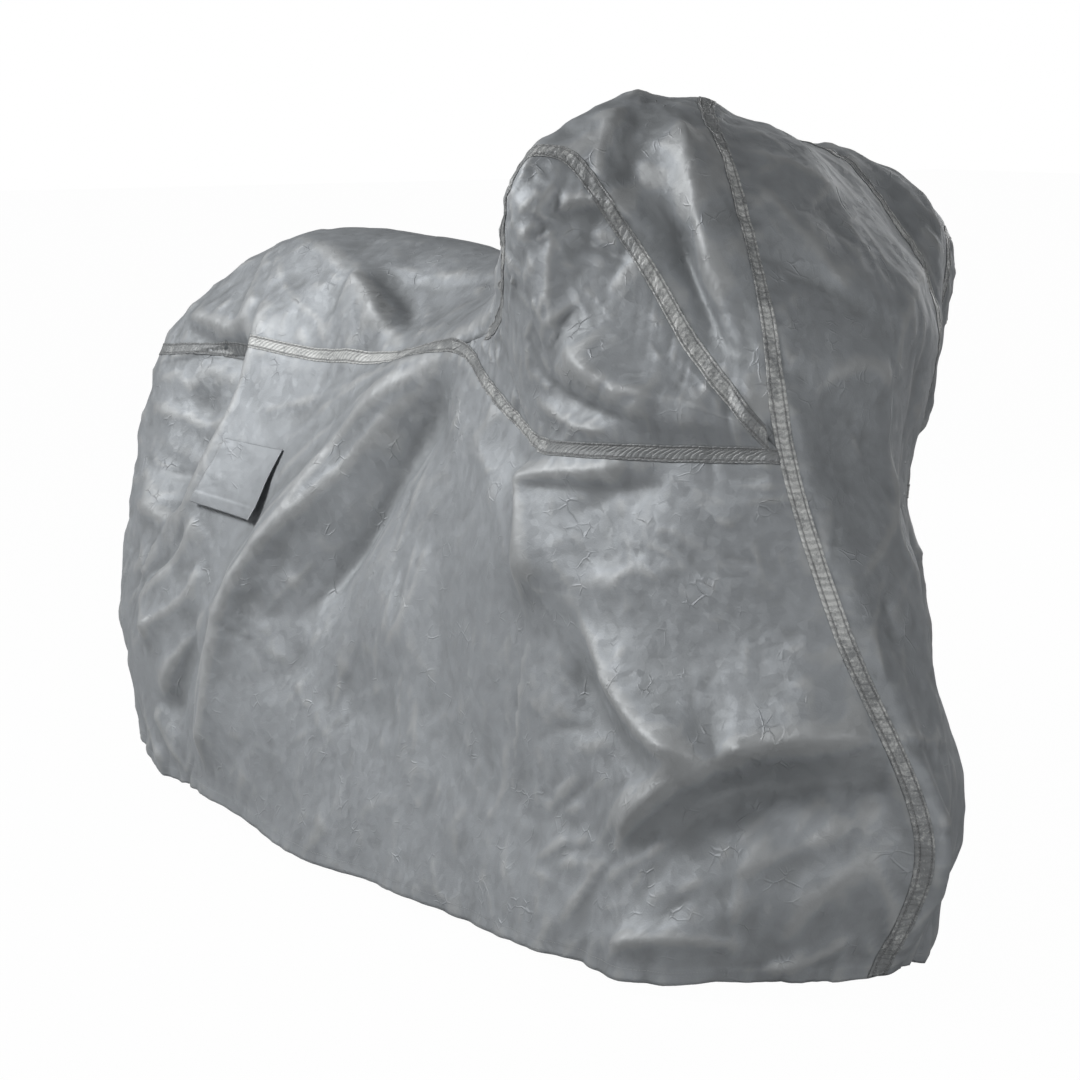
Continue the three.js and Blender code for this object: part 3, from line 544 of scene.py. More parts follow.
class ShortCreases:
    """Every short crease of the fans, laid out once and drawn from one seed."""

    SEED = 20
    UPWARD = 0.62               # share of the creases that stand up
    DEPTH = 90.0                # millimetres of depth within which cloth shares a crease

    def __init__(self, form: Form) -> None:
        """Draws each crease's middle, direction, length, height and two widths."""
        draw = np.random.default_rng(self.SEED)
        rows = []
        for side in Side:
            for fan in FANS:
                station = draw.uniform(*fan.stations, fan.count)
                level = draw.uniform(*fan.levels, fan.count)
                hand = np.full(fan.count, int(side))
                middle = form.point(hand, station, level)
                normal = form.normal(hand, station, level)
                away = form.point(side, *fan.pull) - middle
                along = unit(away - (away * normal).sum(-1, keepdims=True) * normal)
                turn = draw.normal(0.0, fan.loose, fan.count)[:, None]
                along = np.cos(turn) * along + np.sin(turn) * np.cross(normal, along)
                half = 0.5 * draw.uniform(*fan.length, fan.count)
                sign = np.where(draw.uniform(size=fan.count) < self.UPWARD, 1.0, -0.8)
                height = fan.height * sign * draw.uniform(0.4, 1.5, fan.count)
                widths = fan.width * draw.uniform(0.5, 1.9, (2, fan.count))
                rows.append((middle, normal, along, half, height, widths[0], widths[1]))
        self.middle, self.normal, self.along = (np.concatenate([r[k] for r in rows]) for k in range(3))
        self.half, self.height = (np.concatenate([r[k] for r in rows]) for k in (3, 4))
        self.left, self.right = (np.concatenate([r[k] for r in rows]) for k in (5, 6))
        self.across = np.cross(self.normal, self.along)

    def lift(self, points: Array, normals: Array) -> Array:
        """Sum of the creases: each is height * (1 - distance / 2 widths)^2 * (1 - share^2)^2, where
        share is how far along its half length a place is.

        Args:
            points: Places, (N, 3).
            normals: Outward directions there, (N, 3).

        Returns:
            Lifts in millimetres, (N,).
        """
        total = np.zeros(len(points))
        low, high = points.min(axis=0) - 100.0, points.max(axis=0) + 100.0
        inside = ((self.middle > low) & (self.middle < high)).all(axis=1)
        order = np.argsort(points[:, 0])
        sorted_x = points[order, 0]
        for k in np.flatnonzero(inside):
            reach = self.half[k] + 2.2 * max(self.left[k], self.right[k])
            first, last = np.searchsorted(sorted_x, [self.middle[k, 0] - reach, self.middle[k, 0] + reach])
            near = order[first:last]
            offset = points[near] - self.middle[k]
            share = offset @ self.along[k] / self.half[k]
            over = offset @ self.across[k]
            keep = (np.abs(share) < 1.0) & (np.abs(over) < reach)
            keep &= np.abs(offset @ self.normal[k]) < self.DEPTH
            near, share, over = near[keep], share[keep], over[keep]
            width = np.where(over > 0, self.left[k], self.right[k])
            fall = np.hypot(over / width, 0.12) - 0.12
            facing = np.clip(normals[near] @ self.normal[k] * 2.0, 0.0, 1.0)
            tent = np.clip(1.0 - 0.5 * fall, 0.0, 1.0) ** 2
            total[near] += self.height[k] * tent * (1.0 - share**2) ** 2 * facing
        return total


class TracedFold:
    """A fold with its crest laid out on the form."""

    def __init__(self, fold: Fold, form: Form) -> None:
        """Lays the crest out as a parabola through the fold's three places."""
        self.fold = fold
        t = np.linspace(0.0, 1.0, FOLD_STEPS + 1)
        ends = np.array([fold.start, fold.end])
        middle = 2.0 * np.array(fold.half) - ends.mean(axis=0)
        place = ((1 - t) ** 2)[:, None] * ends[0] + (2 * t * (1 - t))[:, None] * middle
        place = place + (t**2)[:, None] * ends[1]
        side = np.full(len(t), int(fold.side))
        self.crest = form.point(side, place[:, 0], place[:, 1])
        self.normals = form.normal(side, place[:, 0], place[:, 1])
        index = np.arange(len(t))
        run = (self.crest[np.minimum(index + 1, FOLD_STEPS)] - self.crest[np.maximum(index - 1, 0)])
        self.to_left = unit(np.cross(self.normals, run))

    def lift(self, points: Array, normals: Array) -> Array:
        """How far the fold lifts each place, eased at its ends: rise * exp(-1.5 * rounded distance),
        or for a sharp crest rise * (1 - distance / 2)^2, both in widths of the fold.

        Args:
            points: Places on the smooth form, (N, 3).
            normals: Outward directions there, (N, 3).

        Returns:
            Lifts in millimetres, (N,).
        """
        fold = self.fold
        centre = self.crest.mean(axis=0)
        reach = 3.4 * max(fold.left, fold.right)
        reach += np.linalg.norm(self.crest - centre, axis=1).max()
        near = np.flatnonzero(np.linalg.norm(points - centre, axis=1) < reach)
        near = near[(normals[near] @ self.normals.T > 0).any(axis=1)]
        lifts = np.zeros(len(points))
        if not len(near):
            return lifts
        p = points[near]
        nearest = np.full(len(near), np.inf)
        along = np.zeros(len(near))
        on_left = np.zeros(len(near), bool)
        for k in range(FOLD_STEPS):
            run = self.crest[k + 1] - self.crest[k]
            offset = p - self.crest[k]
            share = np.clip(offset @ run / (run @ run), 0.0, 1.0)
            away = offset - share[:, None] * run
            distance = np.linalg.norm(away, axis=1)
            closer = distance < nearest
            nearest = np.where(closer, distance, nearest)
            along = np.where(closer, (k + share) / FOLD_STEPS, along)
            on_left = np.where(closer, away @ self.to_left[k] > 0, on_left)
        spread = np.where(on_left, fold.left, fold.right)
        fall = np.hypot(nearest / spread, fold.rounding) - fold.rounding
        taper = ramp(along / 0.25) * ramp((1.0 - along) / 0.25)
        shape = np.exp(-1.5 * fall) if fold.rounding > SHARP else np.clip(1.0 - 0.5 * fall, 0.0, 1.0) ** 2
        lifts[near] = fold.rise * shape * (0.15 + 0.85 * taper)
        return lifts


@dataclass(frozen=True)
class Zone:
    """A place round which the crumple is stronger or calmer, over a reach in millimetres."""

    name: str
    side: Side
    place: tuple
    reach: float
    strength: float


ZONES = (
    Zone("bar pocket", R, (8.0, 3.6), 260, 0.22),
    Zone("fork", R, (6.6, 3.1), 160, 0.25),
    Zone("belly", R, (7.2, 2.0), 260, -0.35),
    Zone("under the flap", R, (3.75, 2.2), 95, -0.75),
    Zone("tail cap", R, (2.2, 3.6), 220, 0.3),
    Zone("skirt", R, (10.2, 1.2), 220, 0.25),
)


@dataclass(frozen=True)
class Gather:
    """How the elastic draws the hem in at one station: depth of its gathers and how far up they go."""

    station: float
    depth: float
    reach: float


GATHERS = (
    Gather(0.0, 9.0, 120.0),
    Gather(2.6, 8.0, 110.0),
    Gather(4.0, 3.0, 70.0),
    Gather(8.0, 2.5, 60.0),
    Gather(9.4, 6.0, 90.0),
    Gather(11.0, 9.0, 130.0),
    Gather(13.0, 9.0, 130.0),
)


class Drape:
    """The draped cloth: the form with its folds, crumple, seam puckers and gathered hem."""

    PUCKER_EVERY = 17.0         # millimetres from one pucker to the next along a seam
    PUCKER_REACH = 34.0         # how far they run out from it
    PUCKER_HEIGHT = 2.4
    SEAM_DEPTH = 2.5            # how far a seam is drawn in
    HEM_WIDTH = 22.0            # width of the turned-up hem
    HEM_THICK = 0.9

    def __init__(self, form: Form) -> None:
        """Lays out the folds, the seams' lengths and the zones."""
        self.form = form
        self.folds = [TracedFold(f, form) for f in FOLDS + CREASES]
        self.crumple = Crumple()
        self.short = ShortCreases(form)
        self.zones = [(form.point(z.side, *z.place), z) for z in ZONES]
        self.runs = {}
        for side in Side:
            stations = np.linspace(TAIL, NOSE, 400)
            for name, level in (("hem", np.full(400, 0.0)), ("waist", np.full(400, float(WAIST))),
                                ("gusset", gusset_top(np.clip(stations, FORK, FRONT)))):
                self.runs[name, side] = self.run_length(side, stations, level)
            levels = np.linspace(HEM, SPINE, 400)
            self.runs["front", side] = self.run_length(side, np.full(400, float(FRONT)), levels)
            self.runs["tail", side] = self.run_length(side, np.full(400, 0.1), levels)

    def run_length(self, side: Side, station: Array, level: Array) -> Array:
        """Length run along a line on the form, from its first place to each of the others."""
        p = self.form.point(side, station, level)
        steps = np.linalg.norm(np.diff(p, axis=0), axis=1)
        return np.concatenate([[0.0], np.cumsum(steps)])

    def along(self, name: str, side: Array, value: Array) -> Array:
        """Length along a named seam at each station, or at each level of the upright seams."""
        end = NOSE if name in ("hem", "waist", "gusset") else SPINE
        samples = np.linspace(0, end, 400)
        right = np.interp(value, samples, self.runs[name, Side.RIGHT])
        left = np.interp(value, samples, self.runs[name, Side.LEFT])
        return np.where(side < 0, right, -left)

    def seams(self, side: Array, station: Array, level: Array) -> list:
        """Every seam near a place: its distance across, length along and strength of its puckers."""
        form = self.form
        per_level = form.stretch(side, station, level, 0.0, 0.2)
        per_station = form.stretch(side, station, level, 0.2, 0.0)
        on_gusset = (station > FORK) & (station < FRONT)
        clipped = np.clip(station, FORK, FRONT)
        gusset = np.where(on_gusset, (level - gusset_top(clipped)) * form.gusset_slant(side, clipped), 1e4)
        waist = np.where(station < FRONT, (level - WAIST) * per_level, 1e4)
        front = (station - FRONT) * per_station
        tail = np.where(level < WAIST, (station - TAIL) * per_station, 1e4)
        return [
            (waist, self.along("waist", side, station), 1.0, 1),
            (gusset, self.along("gusset", side, station), 1.1, 2),
            (front, self.along("front", side, level), 1.0, 3),
            (tail, self.along("tail", side, level), 0.8, 4),
        ]

    def pucker(self, side: Array, station: Array, level: Array) -> Array:
        """Short wrinkles square to the seams, and the dip of each seam."""
        total = np.zeros(np.shape(station))
        for across, along, strength, seed in self.seams(side, station, level):
            d = np.abs(across)
            q = np.stack([along / self.PUCKER_EVERY, d / 95.0 + seed, along / 210.0], axis=-1)
            wave = facets(q, 70 + seed)
            total += strength * self.PUCKER_HEIGHT * wave * np.exp(-d / self.PUCKER_REACH)
            total -= self.SEAM_DEPTH * np.exp(-((d / 13.0) ** 2))
        return total

    def gather(self, side: Array, station: Array, level: Array) -> tuple:
        """The hem: gathers that die out upwards, and the turned-up edge.

        Returns:
            The lift and how far each place hangs lower, in millimetres.
        """
        up = level * self.form.stretch(side, station, level, 0.0, 0.2)
        stations = [g.station for g in GATHERS]
        depth = np.interp(station, stations, [g.depth for g in GATHERS])
        reach = np.interp(station, stations, [g.reach for g in GATHERS])
        along = self.along("hem", side, station)
        wave = facets(np.stack([along / 34.0, up / 260.0, along / 400.0], axis=-1), 91)
        broad = facets(np.stack([along / 95.0, up / 400.0, along / 900.0], axis=-1), 92)
        fade = np.exp(-up / reach)
        edge = self.HEM_THICK * (1.0 - ramp((up - self.HEM_WIDTH) / 2.5))
        groove = 0.7 * np.exp(-(((up - self.HEM_WIDTH + 3.5) / 1.6) ** 2))
        lift = depth * fade * (0.75 * wave + 0.8 * broad) + edge - groove
        lower = 0.8 * depth * np.exp(-up / 45.0) * (0.6 * broad + 0.4 * wave)
        return lift, lower

    def zone_strength(self, points: Array) -> Array:
        """How strong the crumple is at each place."""
        strength = np.ones(points.shape[:-1])
        for centre, zone in self.zones:
            distance = np.linalg.norm(points - centre, axis=-1)
            strength += zone.strength * np.exp(-((distance / zone.reach) ** 2))
        return np.clip(strength, 0.15, 2.0)

    def cloth(self, side: Array, station: Array, level: Array, lift: Array = 0.0) -> tuple:
        """Places on the draped cloth.

        Args:
            side: Side of each place, as its sign.
            station: Station of each place.
            level: Level of each place.
            lift: Millimetres outside the cloth's outer face.

        Returns:
            Points in millimetres, and the crumple's height with the folds, which sets the paler ridges and
            the painted shade in the valleys.
        """
        side, station, level = (np.array(a, float) for a in np.broadcast_arrays(side, station, level))
        base = self.form.point(side, station, level)
        normal = self.form.normal(side, station, level)
        flat, flat_normal = base.reshape(-1, 3), normal.reshape(-1, 3)
        rise = sum(fold.lift(flat, flat_normal) for fold in self.folds).reshape(station.shape)
        strength = self.zone_strength(base)
        fine = self.crumple.height(base) + self.short.lift(flat, flat_normal).reshape(station.shape)
        gathers, lower = self.gather(side, station, level)
        rise = rise + strength * fine + self.pucker(side, station, level) + gathers + lift
        points = base + normal * rise[..., None]
        points[..., 2] -= lower
        return points, rise


def new_mesh(name: str, points: Array, quads: Array) -> bpy.types.Mesh:
    """A mesh from points in millimetres (N, 3) and quads (M, 4)."""
    mesh = bpy.data.meshes.new(name)
    mesh.vertices.add(len(points))
    mesh.vertices.foreach_set("co", (points * MM).astype(np.float32).ravel())
    mesh.loops.add(quads.size)
    mesh.loops.foreach_set("vertex_index", quads.astype(np.int32).ravel())
    mesh.polygons.add(len(quads))
    mesh.polygons.foreach_set("loop_start", np.arange(0, quads.size, 4, dtype=np.int32))
    mesh.update(calc_edges=True)
    mesh.validate()
    mesh.shade_smooth()
    return mesh


def softened(height: Array, times: int) -> Array:
    """A grid of heights averaged with its four neighbours, several times."""
    for _ in range(times):
        padded = np.pad(height, 1, mode="edge")
        height = (padded[:-2, 1:-1] + padded[2:, 1:-1] + padded[1:-1, :-2] + padded[1:-1, 2:]) / 4.0
    return height


def crease_tone(height: Array) -> Array:
    """0 in a valley, 0.5 on a flat, 1 on a ridge: the height against its softened self. It sets the paler
    ridges and the painted shade in the valleys of the cloth's colour.
    """
    return np.clip(0.5 + 0.45 * (height - softened(height, 6)), 0.0, 1.0)


def cloth_object(name: str, points: Array, flat: Array, values: dict, thick: float) -> bpy.types.Object:
    """A thin sheet over a grid of points.

    Args:
        name: The piece's name.
        points: Outer face in millimetres, (rows, columns, 3), facing out.
        flat: Place of each point on the flat cut, in metres, (rows, columns, 2).
        values: Values of each named attribute, (rows, columns).
        thick: Thickness in millimetres, laid inwards.

    Returns:
        The object, at the origin.
    """
    rows, columns = points.shape[:2]
    ids = np.arange(rows * columns).reshape(rows, columns)
    quads = np.stack([ids[:-1, :-1], ids[1:, :-1], ids[1:, 1:], ids[:-1, 1:]], axis=-1).reshape(-1, 4)
    mesh = new_mesh(name, points.reshape(-1, 3), quads)
    layer = mesh.uv_layers.new(name="flat")
    layer.data.foreach_set("uv", flat.reshape(-1, 2)[quads.ravel()].astype(np.float32).ravel())
    for key, value in values.items():
        attribute = mesh.attributes.new(key, "FLOAT", "POINT")
        attribute.data.foreach_set("value", value.astype(np.float32).ravel())
    work = bmesh.new()
    work.from_mesh(mesh)
    bmesh.ops.remove_doubles(work, verts=work.verts, dist=1e-6)
    work.to_mesh(mesh)
    work.free()
    piece = bpy.data.objects.new(name, mesh)
    bpy.context.collection.objects.link(piece)
    wall = piece.modifiers.new("cloth", "SOLIDIFY")
    wall.thickness = thick * MM
    wall.offset = -1.0
    return piece


class NodeTree:
    """Builds a material's nodes in short calls."""

    def __init__(self, name: str) -> None:
        """Starts a material with only its output and shader."""
        self.material = bpy.data.materials.new(name)
        self.material.use_nodes = True
        self.tree = self.material.node_tree
        self.tree.nodes.clear()
        self.output = self.tree.nodes.new("ShaderNodeOutputMaterial")

    def add(self, kind: str, inputs: dict | None = None, **settings: object) -> bpy.types.Node:
        """Adds a node.

        Args:
            kind: Node type without its ShaderNode prefix.
            inputs: A value or a socket for each input, by name or index.
            settings: The node's own properties.

        Returns:
            The node.
        """
        node = self.tree.nodes.new("ShaderNode" + kind)
        for key, value in settings.items():
            setattr(node, key, value)
        for key, value in (inputs or {}).items():
            if isinstance(value, bpy.types.NodeSocket):
                self.tree.links.new(value, node.inputs[key])
            else:
                node.inputs[key].default_value = value
        return node

    def math(self, operation: str, a: object, b: object = 0.0) -> bpy.types.NodeSocket:
        """One step of arithmetic on sockets or numbers."""
        return self.add("Math", {0: a, 1: b}, operation=operation).outputs[0]

    def ramp(self, value: bpy.types.NodeSocket, low: float, high: float,
             to_low: float = 0.0, to_high: float = 1.0) -> bpy.types.NodeSocket:
        """A value mapped from one range to another, held at its ends."""
        return self.add("MapRange", {0: value, 1: low, 2: high, 3: to_low, 4: to_high}).outputs[0]

    def blend(self, factor: object, a: object, b: object, how: str = "MIX") -> bpy.types.NodeSocket:
        """Two colours mixed by a factor."""
        node = self.add("Mix", {0: factor, 6: a, 7: b}, data_type="RGBA", blend_type=how)
        return node.outputs[2]

    def finish(self, shader: bpy.types.Node) -> bpy.types.Material:
        """Joins the shader to the output and hands the material over."""
        self.tree.links.new(shader.outputs[0], self.output.inputs[0])
        return self.material


@dataclass(frozen=True)
class CoatedCloth:
    """Silver-grey coated polyester: satin, finely crinkled, a little paler on the ridges of its folds and
    darker in their valleys, which is painted shade.
    """

    name: str = "coated_cloth"
    colour: tuple = (0.355, 0.375, 0.395, 1.0)
    # the paler colour that the ridges of the folds lighten to
    ridge_pale: tuple = (0.47, 0.48, 0.48, 1.0)
    # painted shade: the colour that the valleys of the folds are darkened to
    shadowed: tuple = (0.28, 0.295, 0.305, 1.0)
    roughness: float = 0.62
    metallic: float = 0.45
    facets: tuple = ((0.026, 0.13), (0.012, 0.15))   # size in metres and lean of each
    net: float = 0.024          # metres across one mesh of the net of crease lines
    line: float = 0.07          # width of a line, as a share of that
    shown: float = 0.38         # about how much of the net shows

    def crinkles(self, t: NodeTree, place: bpy.types.NodeSocket,
                 amount: bpy.types.NodeSocket) -> bpy.types.NodeSocket:
        """Normals of the crinkles too small for the mesh.

        They are facets in two sizes, each tilted its own way, and one broken net of crease lines,
        over a fine grain.

        Args:
            t: The material's nodes.
            place: Where the shaded point is.
            amount: How strong the crinkles are there.

        Returns:
            The normal.
        """
        bend = t.add("TexNoise", {"Vector": place, "Scale": 7.0, "Detail": 3.0}).outputs["Color"]
        moved = t.add("VectorMath", {0: bend, 1: (0.09, 0.09, 0.09), 2: place},
                      operation="MULTIPLY_ADD").outputs[0]
        tilt = None
        for size, lean in self.facets:
            cells = t.add("TexVoronoi", {"Vector": moved, "Scale": 1.0 / size}).outputs["Color"]
            leaning = t.add("VectorMath", {0: cells, 1: (-0.5, -0.5, -0.5)}, operation="ADD").outputs[0]
            leaning = t.add("VectorMath", {0: leaning, "Scale": lean}, operation="SCALE").outputs[0]
            tilt = leaning if tilt is None else t.add(
                "VectorMath", {0: tilt, 1: leaning}, operation="ADD").outputs[0]
        tilt = t.add("VectorMath", {0: tilt, "Scale": amount}, operation="SCALE").outputs[0]
        height = t.math("MULTIPLY", t.add("TexNoise", {
            "Vector": place, "Scale": 420.0, "Detail": 1.0}).outputs[0], 0.25)
        edge = t.add("TexVoronoi", {"Vector": moved, "Scale": 1.0 / self.net},
                     feature="DISTANCE_TO_EDGE").outputs["Distance"]
        crest = t.ramp(edge, 0.0, self.line, 1.0, 0.0)
        cover = t.add("TexNoise", {"Vector": place, "Scale": 0.6 / self.net, "Detail": 0.0}).outputs[0]
        crest = t.math("MULTIPLY", crest, t.ramp(cover, 1.0 - self.shown, 1.15 - self.shown))
        height = t.math("ADD", height, crest)
        bump = t.add("Bump", {"Strength": t.ramp(amount, 0.0, 1.2, 0.2, 0.85), "Distance": 0.0013,
                              "Height": height}).outputs[0]
        leaned = t.add("VectorMath", {0: bump, 1: tilt}, operation="ADD").outputs[0]
        return t.add("VectorMath", {0: leaned}, operation="NORMALIZE").outputs[0]

    def build(self) -> bpy.types.Material:
        """Makes the material."""
        t = NodeTree(self.name)
        place = t.add("TexCoord").outputs["Object"]
        crease = t.add("Attribute", attribute_name="crease").outputs["Fac"]
        crinkle = t.add("Attribute", attribute_name="crinkle").outputs["Fac"]
        patches = t.add("TexNoise", {"Vector": place, "Scale": 3.1, "Detail": 4.0}).outputs[0]
        mottle = t.add("TexNoise", {"Vector": place, "Scale": 46.0, "Detail": 3.0}).outputs[0]
        # paler on the ridges of the folds
        colour = t.blend(t.ramp(crease, 0.55, 1.0, 0.0, 0.55), self.colour, self.ridge_pale)
        # painted shade: the valleys of the folds darken towards the shadowed colour
        colour = t.blend(t.ramp(crease, 0.45, 0.0, 0.0, 0.6), colour, self.shadowed)
        tone = t.math("ADD", t.ramp(patches, 0.3, 0.7, 0.88, 1.08), t.ramp(mottle, 0.3, 0.7, -0.04, 0.04))
        grey = t.add("CombineColor", {0: tone, 1: tone, 2: tone}).outputs[0]
        colour = t.blend(1.0, colour, grey, "MULTIPLY")
        rough = t.math("ADD", t.ramp(mottle, 0.3, 0.7, -0.05, 0.06), self.roughness)
        shader = t.add("BsdfPrincipled", {
            "Base Color": colour, "Roughness": rough, "Metallic": self.metallic,
            "Specular IOR Level": 0.45, "Normal": self.crinkles(t, place, crinkle)})
        return t.finish(shader)


@dataclass(frozen=True)
class SeamTape:
    """The taped seam: paler, mottled white where the tape's glue shows, ribbed across."""

    name: str = "seam_tape"
    colour: tuple = (0.25, 0.26, 0.265, 1.0)
    pale: tuple = (0.66, 0.67, 0.66, 1.0)
    # painted shade in the grooves along the rows of stitches
    groove_shade: tuple = (0.13, 0.13, 0.13, 1.0)
    roughness: float = 0.45
    rib: float = 0.011          # metres from one rib to the next
    row: float = 0.0082         # metres from the middle to a row of stitches

    def build(self) -> bpy.types.Material:
        """Makes the material: white patches, ribs across and a groove along each row of stitches, darkened
        there with painted shade.
        """
        t = NodeTree(self.name)
        place = t.add("TexCoord").outputs["Object"]
        flat = t.add("SeparateXYZ", {0: t.add("UVMap", uv_map="flat").outputs[0]})
        wide = t.add("TexNoise", {"Vector": place, "Scale": 26.0, "Detail": 4.0,
                                  "Roughness": 0.7}).outputs[0]
        fine = t.add("TexNoise", {"Vector": place, "Scale": 240.0, "Detail": 5.0,
                                  "Roughness": 0.8}).outputs[0]
        both = t.math("ADD", t.math("MULTIPLY", wide, 0.5), t.math("MULTIPLY", fine, 0.5))
        share = t.add("Attribute", attribute_name="pale").outputs["Fac"]
        turn = t.math("ADD", t.math("MULTIPLY", flat.outputs[0], 2.0 * math.pi / self.rib),
                      t.math("MULTIPLY", wide, 9.0))
        ribs = t.ramp(t.math("SINE", turn), -0.2, 0.9)
        pale = t.ramp(t.math("ADD", both, t.math("MULTIPLY", share, 0.2)), 0.56, 0.7)
        pale = t.math("MULTIPLY", pale, t.ramp(ribs, 0.0, 1.0, 1.0, 0.55))
        colour = t.blend(pale, self.colour, self.pale)
        off_row = t.math("ABSOLUTE", t.math("SUBTRACT", t.math("ABSOLUTE", flat.outputs[1]), self.row))
        groove = t.ramp(off_row, 0.0006, 0.0018, 1.0, 0.0)
        # painted shade: darker in the grooves along the rows of stitches
        colour = t.blend(t.math("MULTIPLY", groove, 0.55), colour, self.groove_shade)
        height = t.math("ADD", fine, t.math("MULTIPLY", wide, 1.4))
        height = t.math("SUBTRACT", height, t.math("MULTIPLY", ribs, 0.9))
        height = t.math("SUBTRACT", height, groove)
        bump = t.add("Bump", {"Strength": 0.7, "Distance": 0.0012, "Height": height})
        shader = t.add("BsdfPrincipled", {"Base Color": colour, "Roughness": self.roughness,
                                          "Metallic": 0.15, "Normal": bump.outputs[0]})
        return t.finish(shader)


@dataclass(frozen=True)
class Thread:
    """Polyester thread of the stitching."""

    name: str = "thread"
    colour: tuple = (0.42, 0.43, 0.44, 1.0)
    twisted: tuple = (0.3, 0.31, 0.32, 1.0)

    def build(self) -> bpy.types.Material:
        """Makes the material, a twisted thread with a slight gloss."""
        t = NodeTree(self.name)
        place = t.add("TexCoord").outputs["Object"]
        twist = t.add("TexNoise", {"Vector": place, "Scale": 900.0}).outputs[0]
        colour = t.blend(t.ramp(twist, 0.35, 0.65), self.colour, self.twisted)
        shader = t.add("BsdfPrincipled", {"Base Color": colour, "Roughness": 0.55})
        return t.finish(shader)


@dataclass
class Workshop:
    """What every sub-assembly shares: the drape and the finishes."""

    drape: Drape
    cloth: bpy.types.Material
    tape: bpy.types.Material
    thread: bpy.types.Material


def dress(piece: bpy.types.Object, material: bpy.types.Material, nodes: tuple) -> None:
    """Gives a piece its material, hangs it under the body and hides the solids that it stands for."""
    piece.data.materials.append(material)
    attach(piece, BODY)
    if nodes:
        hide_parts(*nodes)
    LOG.info("piece %s: %d faces", piece.name, len(piece.data.polygons))


def even_stations(form: Form, side: Side, level: float, start: float, end: float, spacing: float) -> Array:
    """Stations evenly spaced by length along one level."""
    samples = np.linspace(start, end, 600)
    p = form.point(side, samples, np.full(600, level))
    run = np.concatenate([[0.0], np.cumsum(np.linalg.norm(np.diff(p, axis=0), axis=1))])
    count = max(int(run[-1] / spacing), 4)
    return np.interp(np.linspace(0.0, run[-1], count + 1), run, samples)


def run_of(points: Array, axis: int) -> Array:
    """Length run over a grid of points along one axis, in metres."""
    steps = np.linalg.norm(np.diff(points, axis=axis), axis=-1)
    pad = [(1, 0) if k == axis else (0, 0) for k in range(2)]
    return np.cumsum(np.pad(steps, pad), axis=axis) * MM


@dataclass
class Panel:
    """A panel of the cover, cut from the form between its seams."""

    name: str
    spacing: float              # millimetres between two points of its mesh
    thick: float = 0.8

    def grid(self, form: Form) -> tuple:
        """Side, station and level of each point, as grids of rows and columns."""
        raise NotImplementedError

    def build(self, shop: Workshop) -> bpy.types.Object:
        """Makes the panel, dresses it and lays its flat cut into a UV map named flat.

        Args:
            shop: The drape and the finishes.

        Returns:
            The panel's object.
        """
        side, station, level = self.grid(shop.drape.form)
        points, rise = shop.drape.cloth(side, station, level)
        smooth = shop.drape.form.point(side, station, level)
        flat = np.stack([run_of(smooth, 0), run_of(smooth, 1)], axis=-1)
        # crease: paler ridges and painted shade in the valleys, in the cloth's colour
        values = {"crease": crease_tone(rise), "crinkle": 0.75 * shop.drape.zone_strength(smooth)}
        piece = cloth_object("cloth_" + self.name, points, flat, values, self.thick)
        dress(piece, shop.cloth, (self.name,))
        return piece


@dataclass
class SidePanel(Panel):
    """Lower side panel: hem to waist, middle of the tail to the front seam."""

    side: Side = Side.RIGHT

    def grid(self, form: Form) -> tuple:
        """Rows follow the stations, evenly along the level 'mid', and columns rise to the waist."""
        rows = even_stations(form, self.side, 1.8, TAIL, FRONT, self.spacing)
        columns = np.linspace(0.0, 1.0, int(800.0 / self.spacing) + 1)
        top = form.shift_level(self.side, rows, np.full(len(rows), float(WAIST)), -SEAM_GAP / 2)
        level = columns[None, :] * top[:, None]
        share = (rows / FRONT)[:, None]
        front = form.shift_station(self.side, np.full_like(level, FRONT), level, -SEAM_GAP / 2)
        back = form.shift_station(self.side, np.full_like(level, 0.1), level, SEAM_GAP / 2) - 0.1
        station = (1 - share) * back + share * front
        side = np.full_like(level, float(self.side))
        if self.side == Side.LEFT:
            return side[:, ::-1], station[:, ::-1], level[:, ::-1]
        return side, station, level


@dataclass
class BarGusset(Panel):
    """The pocket over one end of the handlebar, pointed at both ends."""

    side: Side = Side.RIGHT

    def grid(self, form: Form) -> tuple:
        """Rows follow the stations and columns rise from the waist seam to the upper seam."""
        rows = even_stations(form, self.side, 3.4, FORK + GUSSET_TIP, FRONT - GUSSET_TIP, self.spacing)
        low = form.shift_level(self.side, rows, np.full(len(rows), float(WAIST)), SEAM_GAP / 2)
        high = gusset_top(rows) - SEAM_GAP / 2 / form.gusset_slant(self.side, rows)
        columns = np.linspace(0.0, 1.0, int(380.0 / self.spacing) + 1)
        level = low[:, None] + columns[None, :] * (high - low)[:, None]
        station = np.broadcast_to(rows[:, None], level.shape)
        side = np.full_like(level, float(self.side))
        if self.side == Side.LEFT:
            return side[:, ::-1], station[:, ::-1], level[:, ::-1]
        return side, station, level


@dataclass
class TopPanel(Panel):
    """One piece over tail, seat and handlebar, between the two long seams."""

    def grid(self, form: Form) -> tuple:
        """Rows follow the stations, and columns go over the spine from the right edge to the left."""
        rows = even_stations(form, Side.RIGHT, 4.6, TAIL, FRONT, self.spacing)
        columns = np.linspace(0.0, 1.0, int(430.0 / self.spacing) + 1)
        halves = []
        for hand in (Side.RIGHT, Side.LEFT):
            edge = form.top_edge(hand, rows, SEAM_GAP / 2)
            level = edge[:, None] + columns[None, :] * (SPINE - edge)[:, None]
            asked = np.minimum(level, SPINE - 0.2)
            share = (rows / FRONT)[:, None]
            front = form.shift_station(hand, np.full_like(level, FRONT), asked, -SEAM_GAP / 2)
            halves.append((np.full_like(level, float(hand)), share * front, level))
        return tuple(np.concatenate([a, b[:, -2::-1]], axis=1) for a, b in zip(*halves))


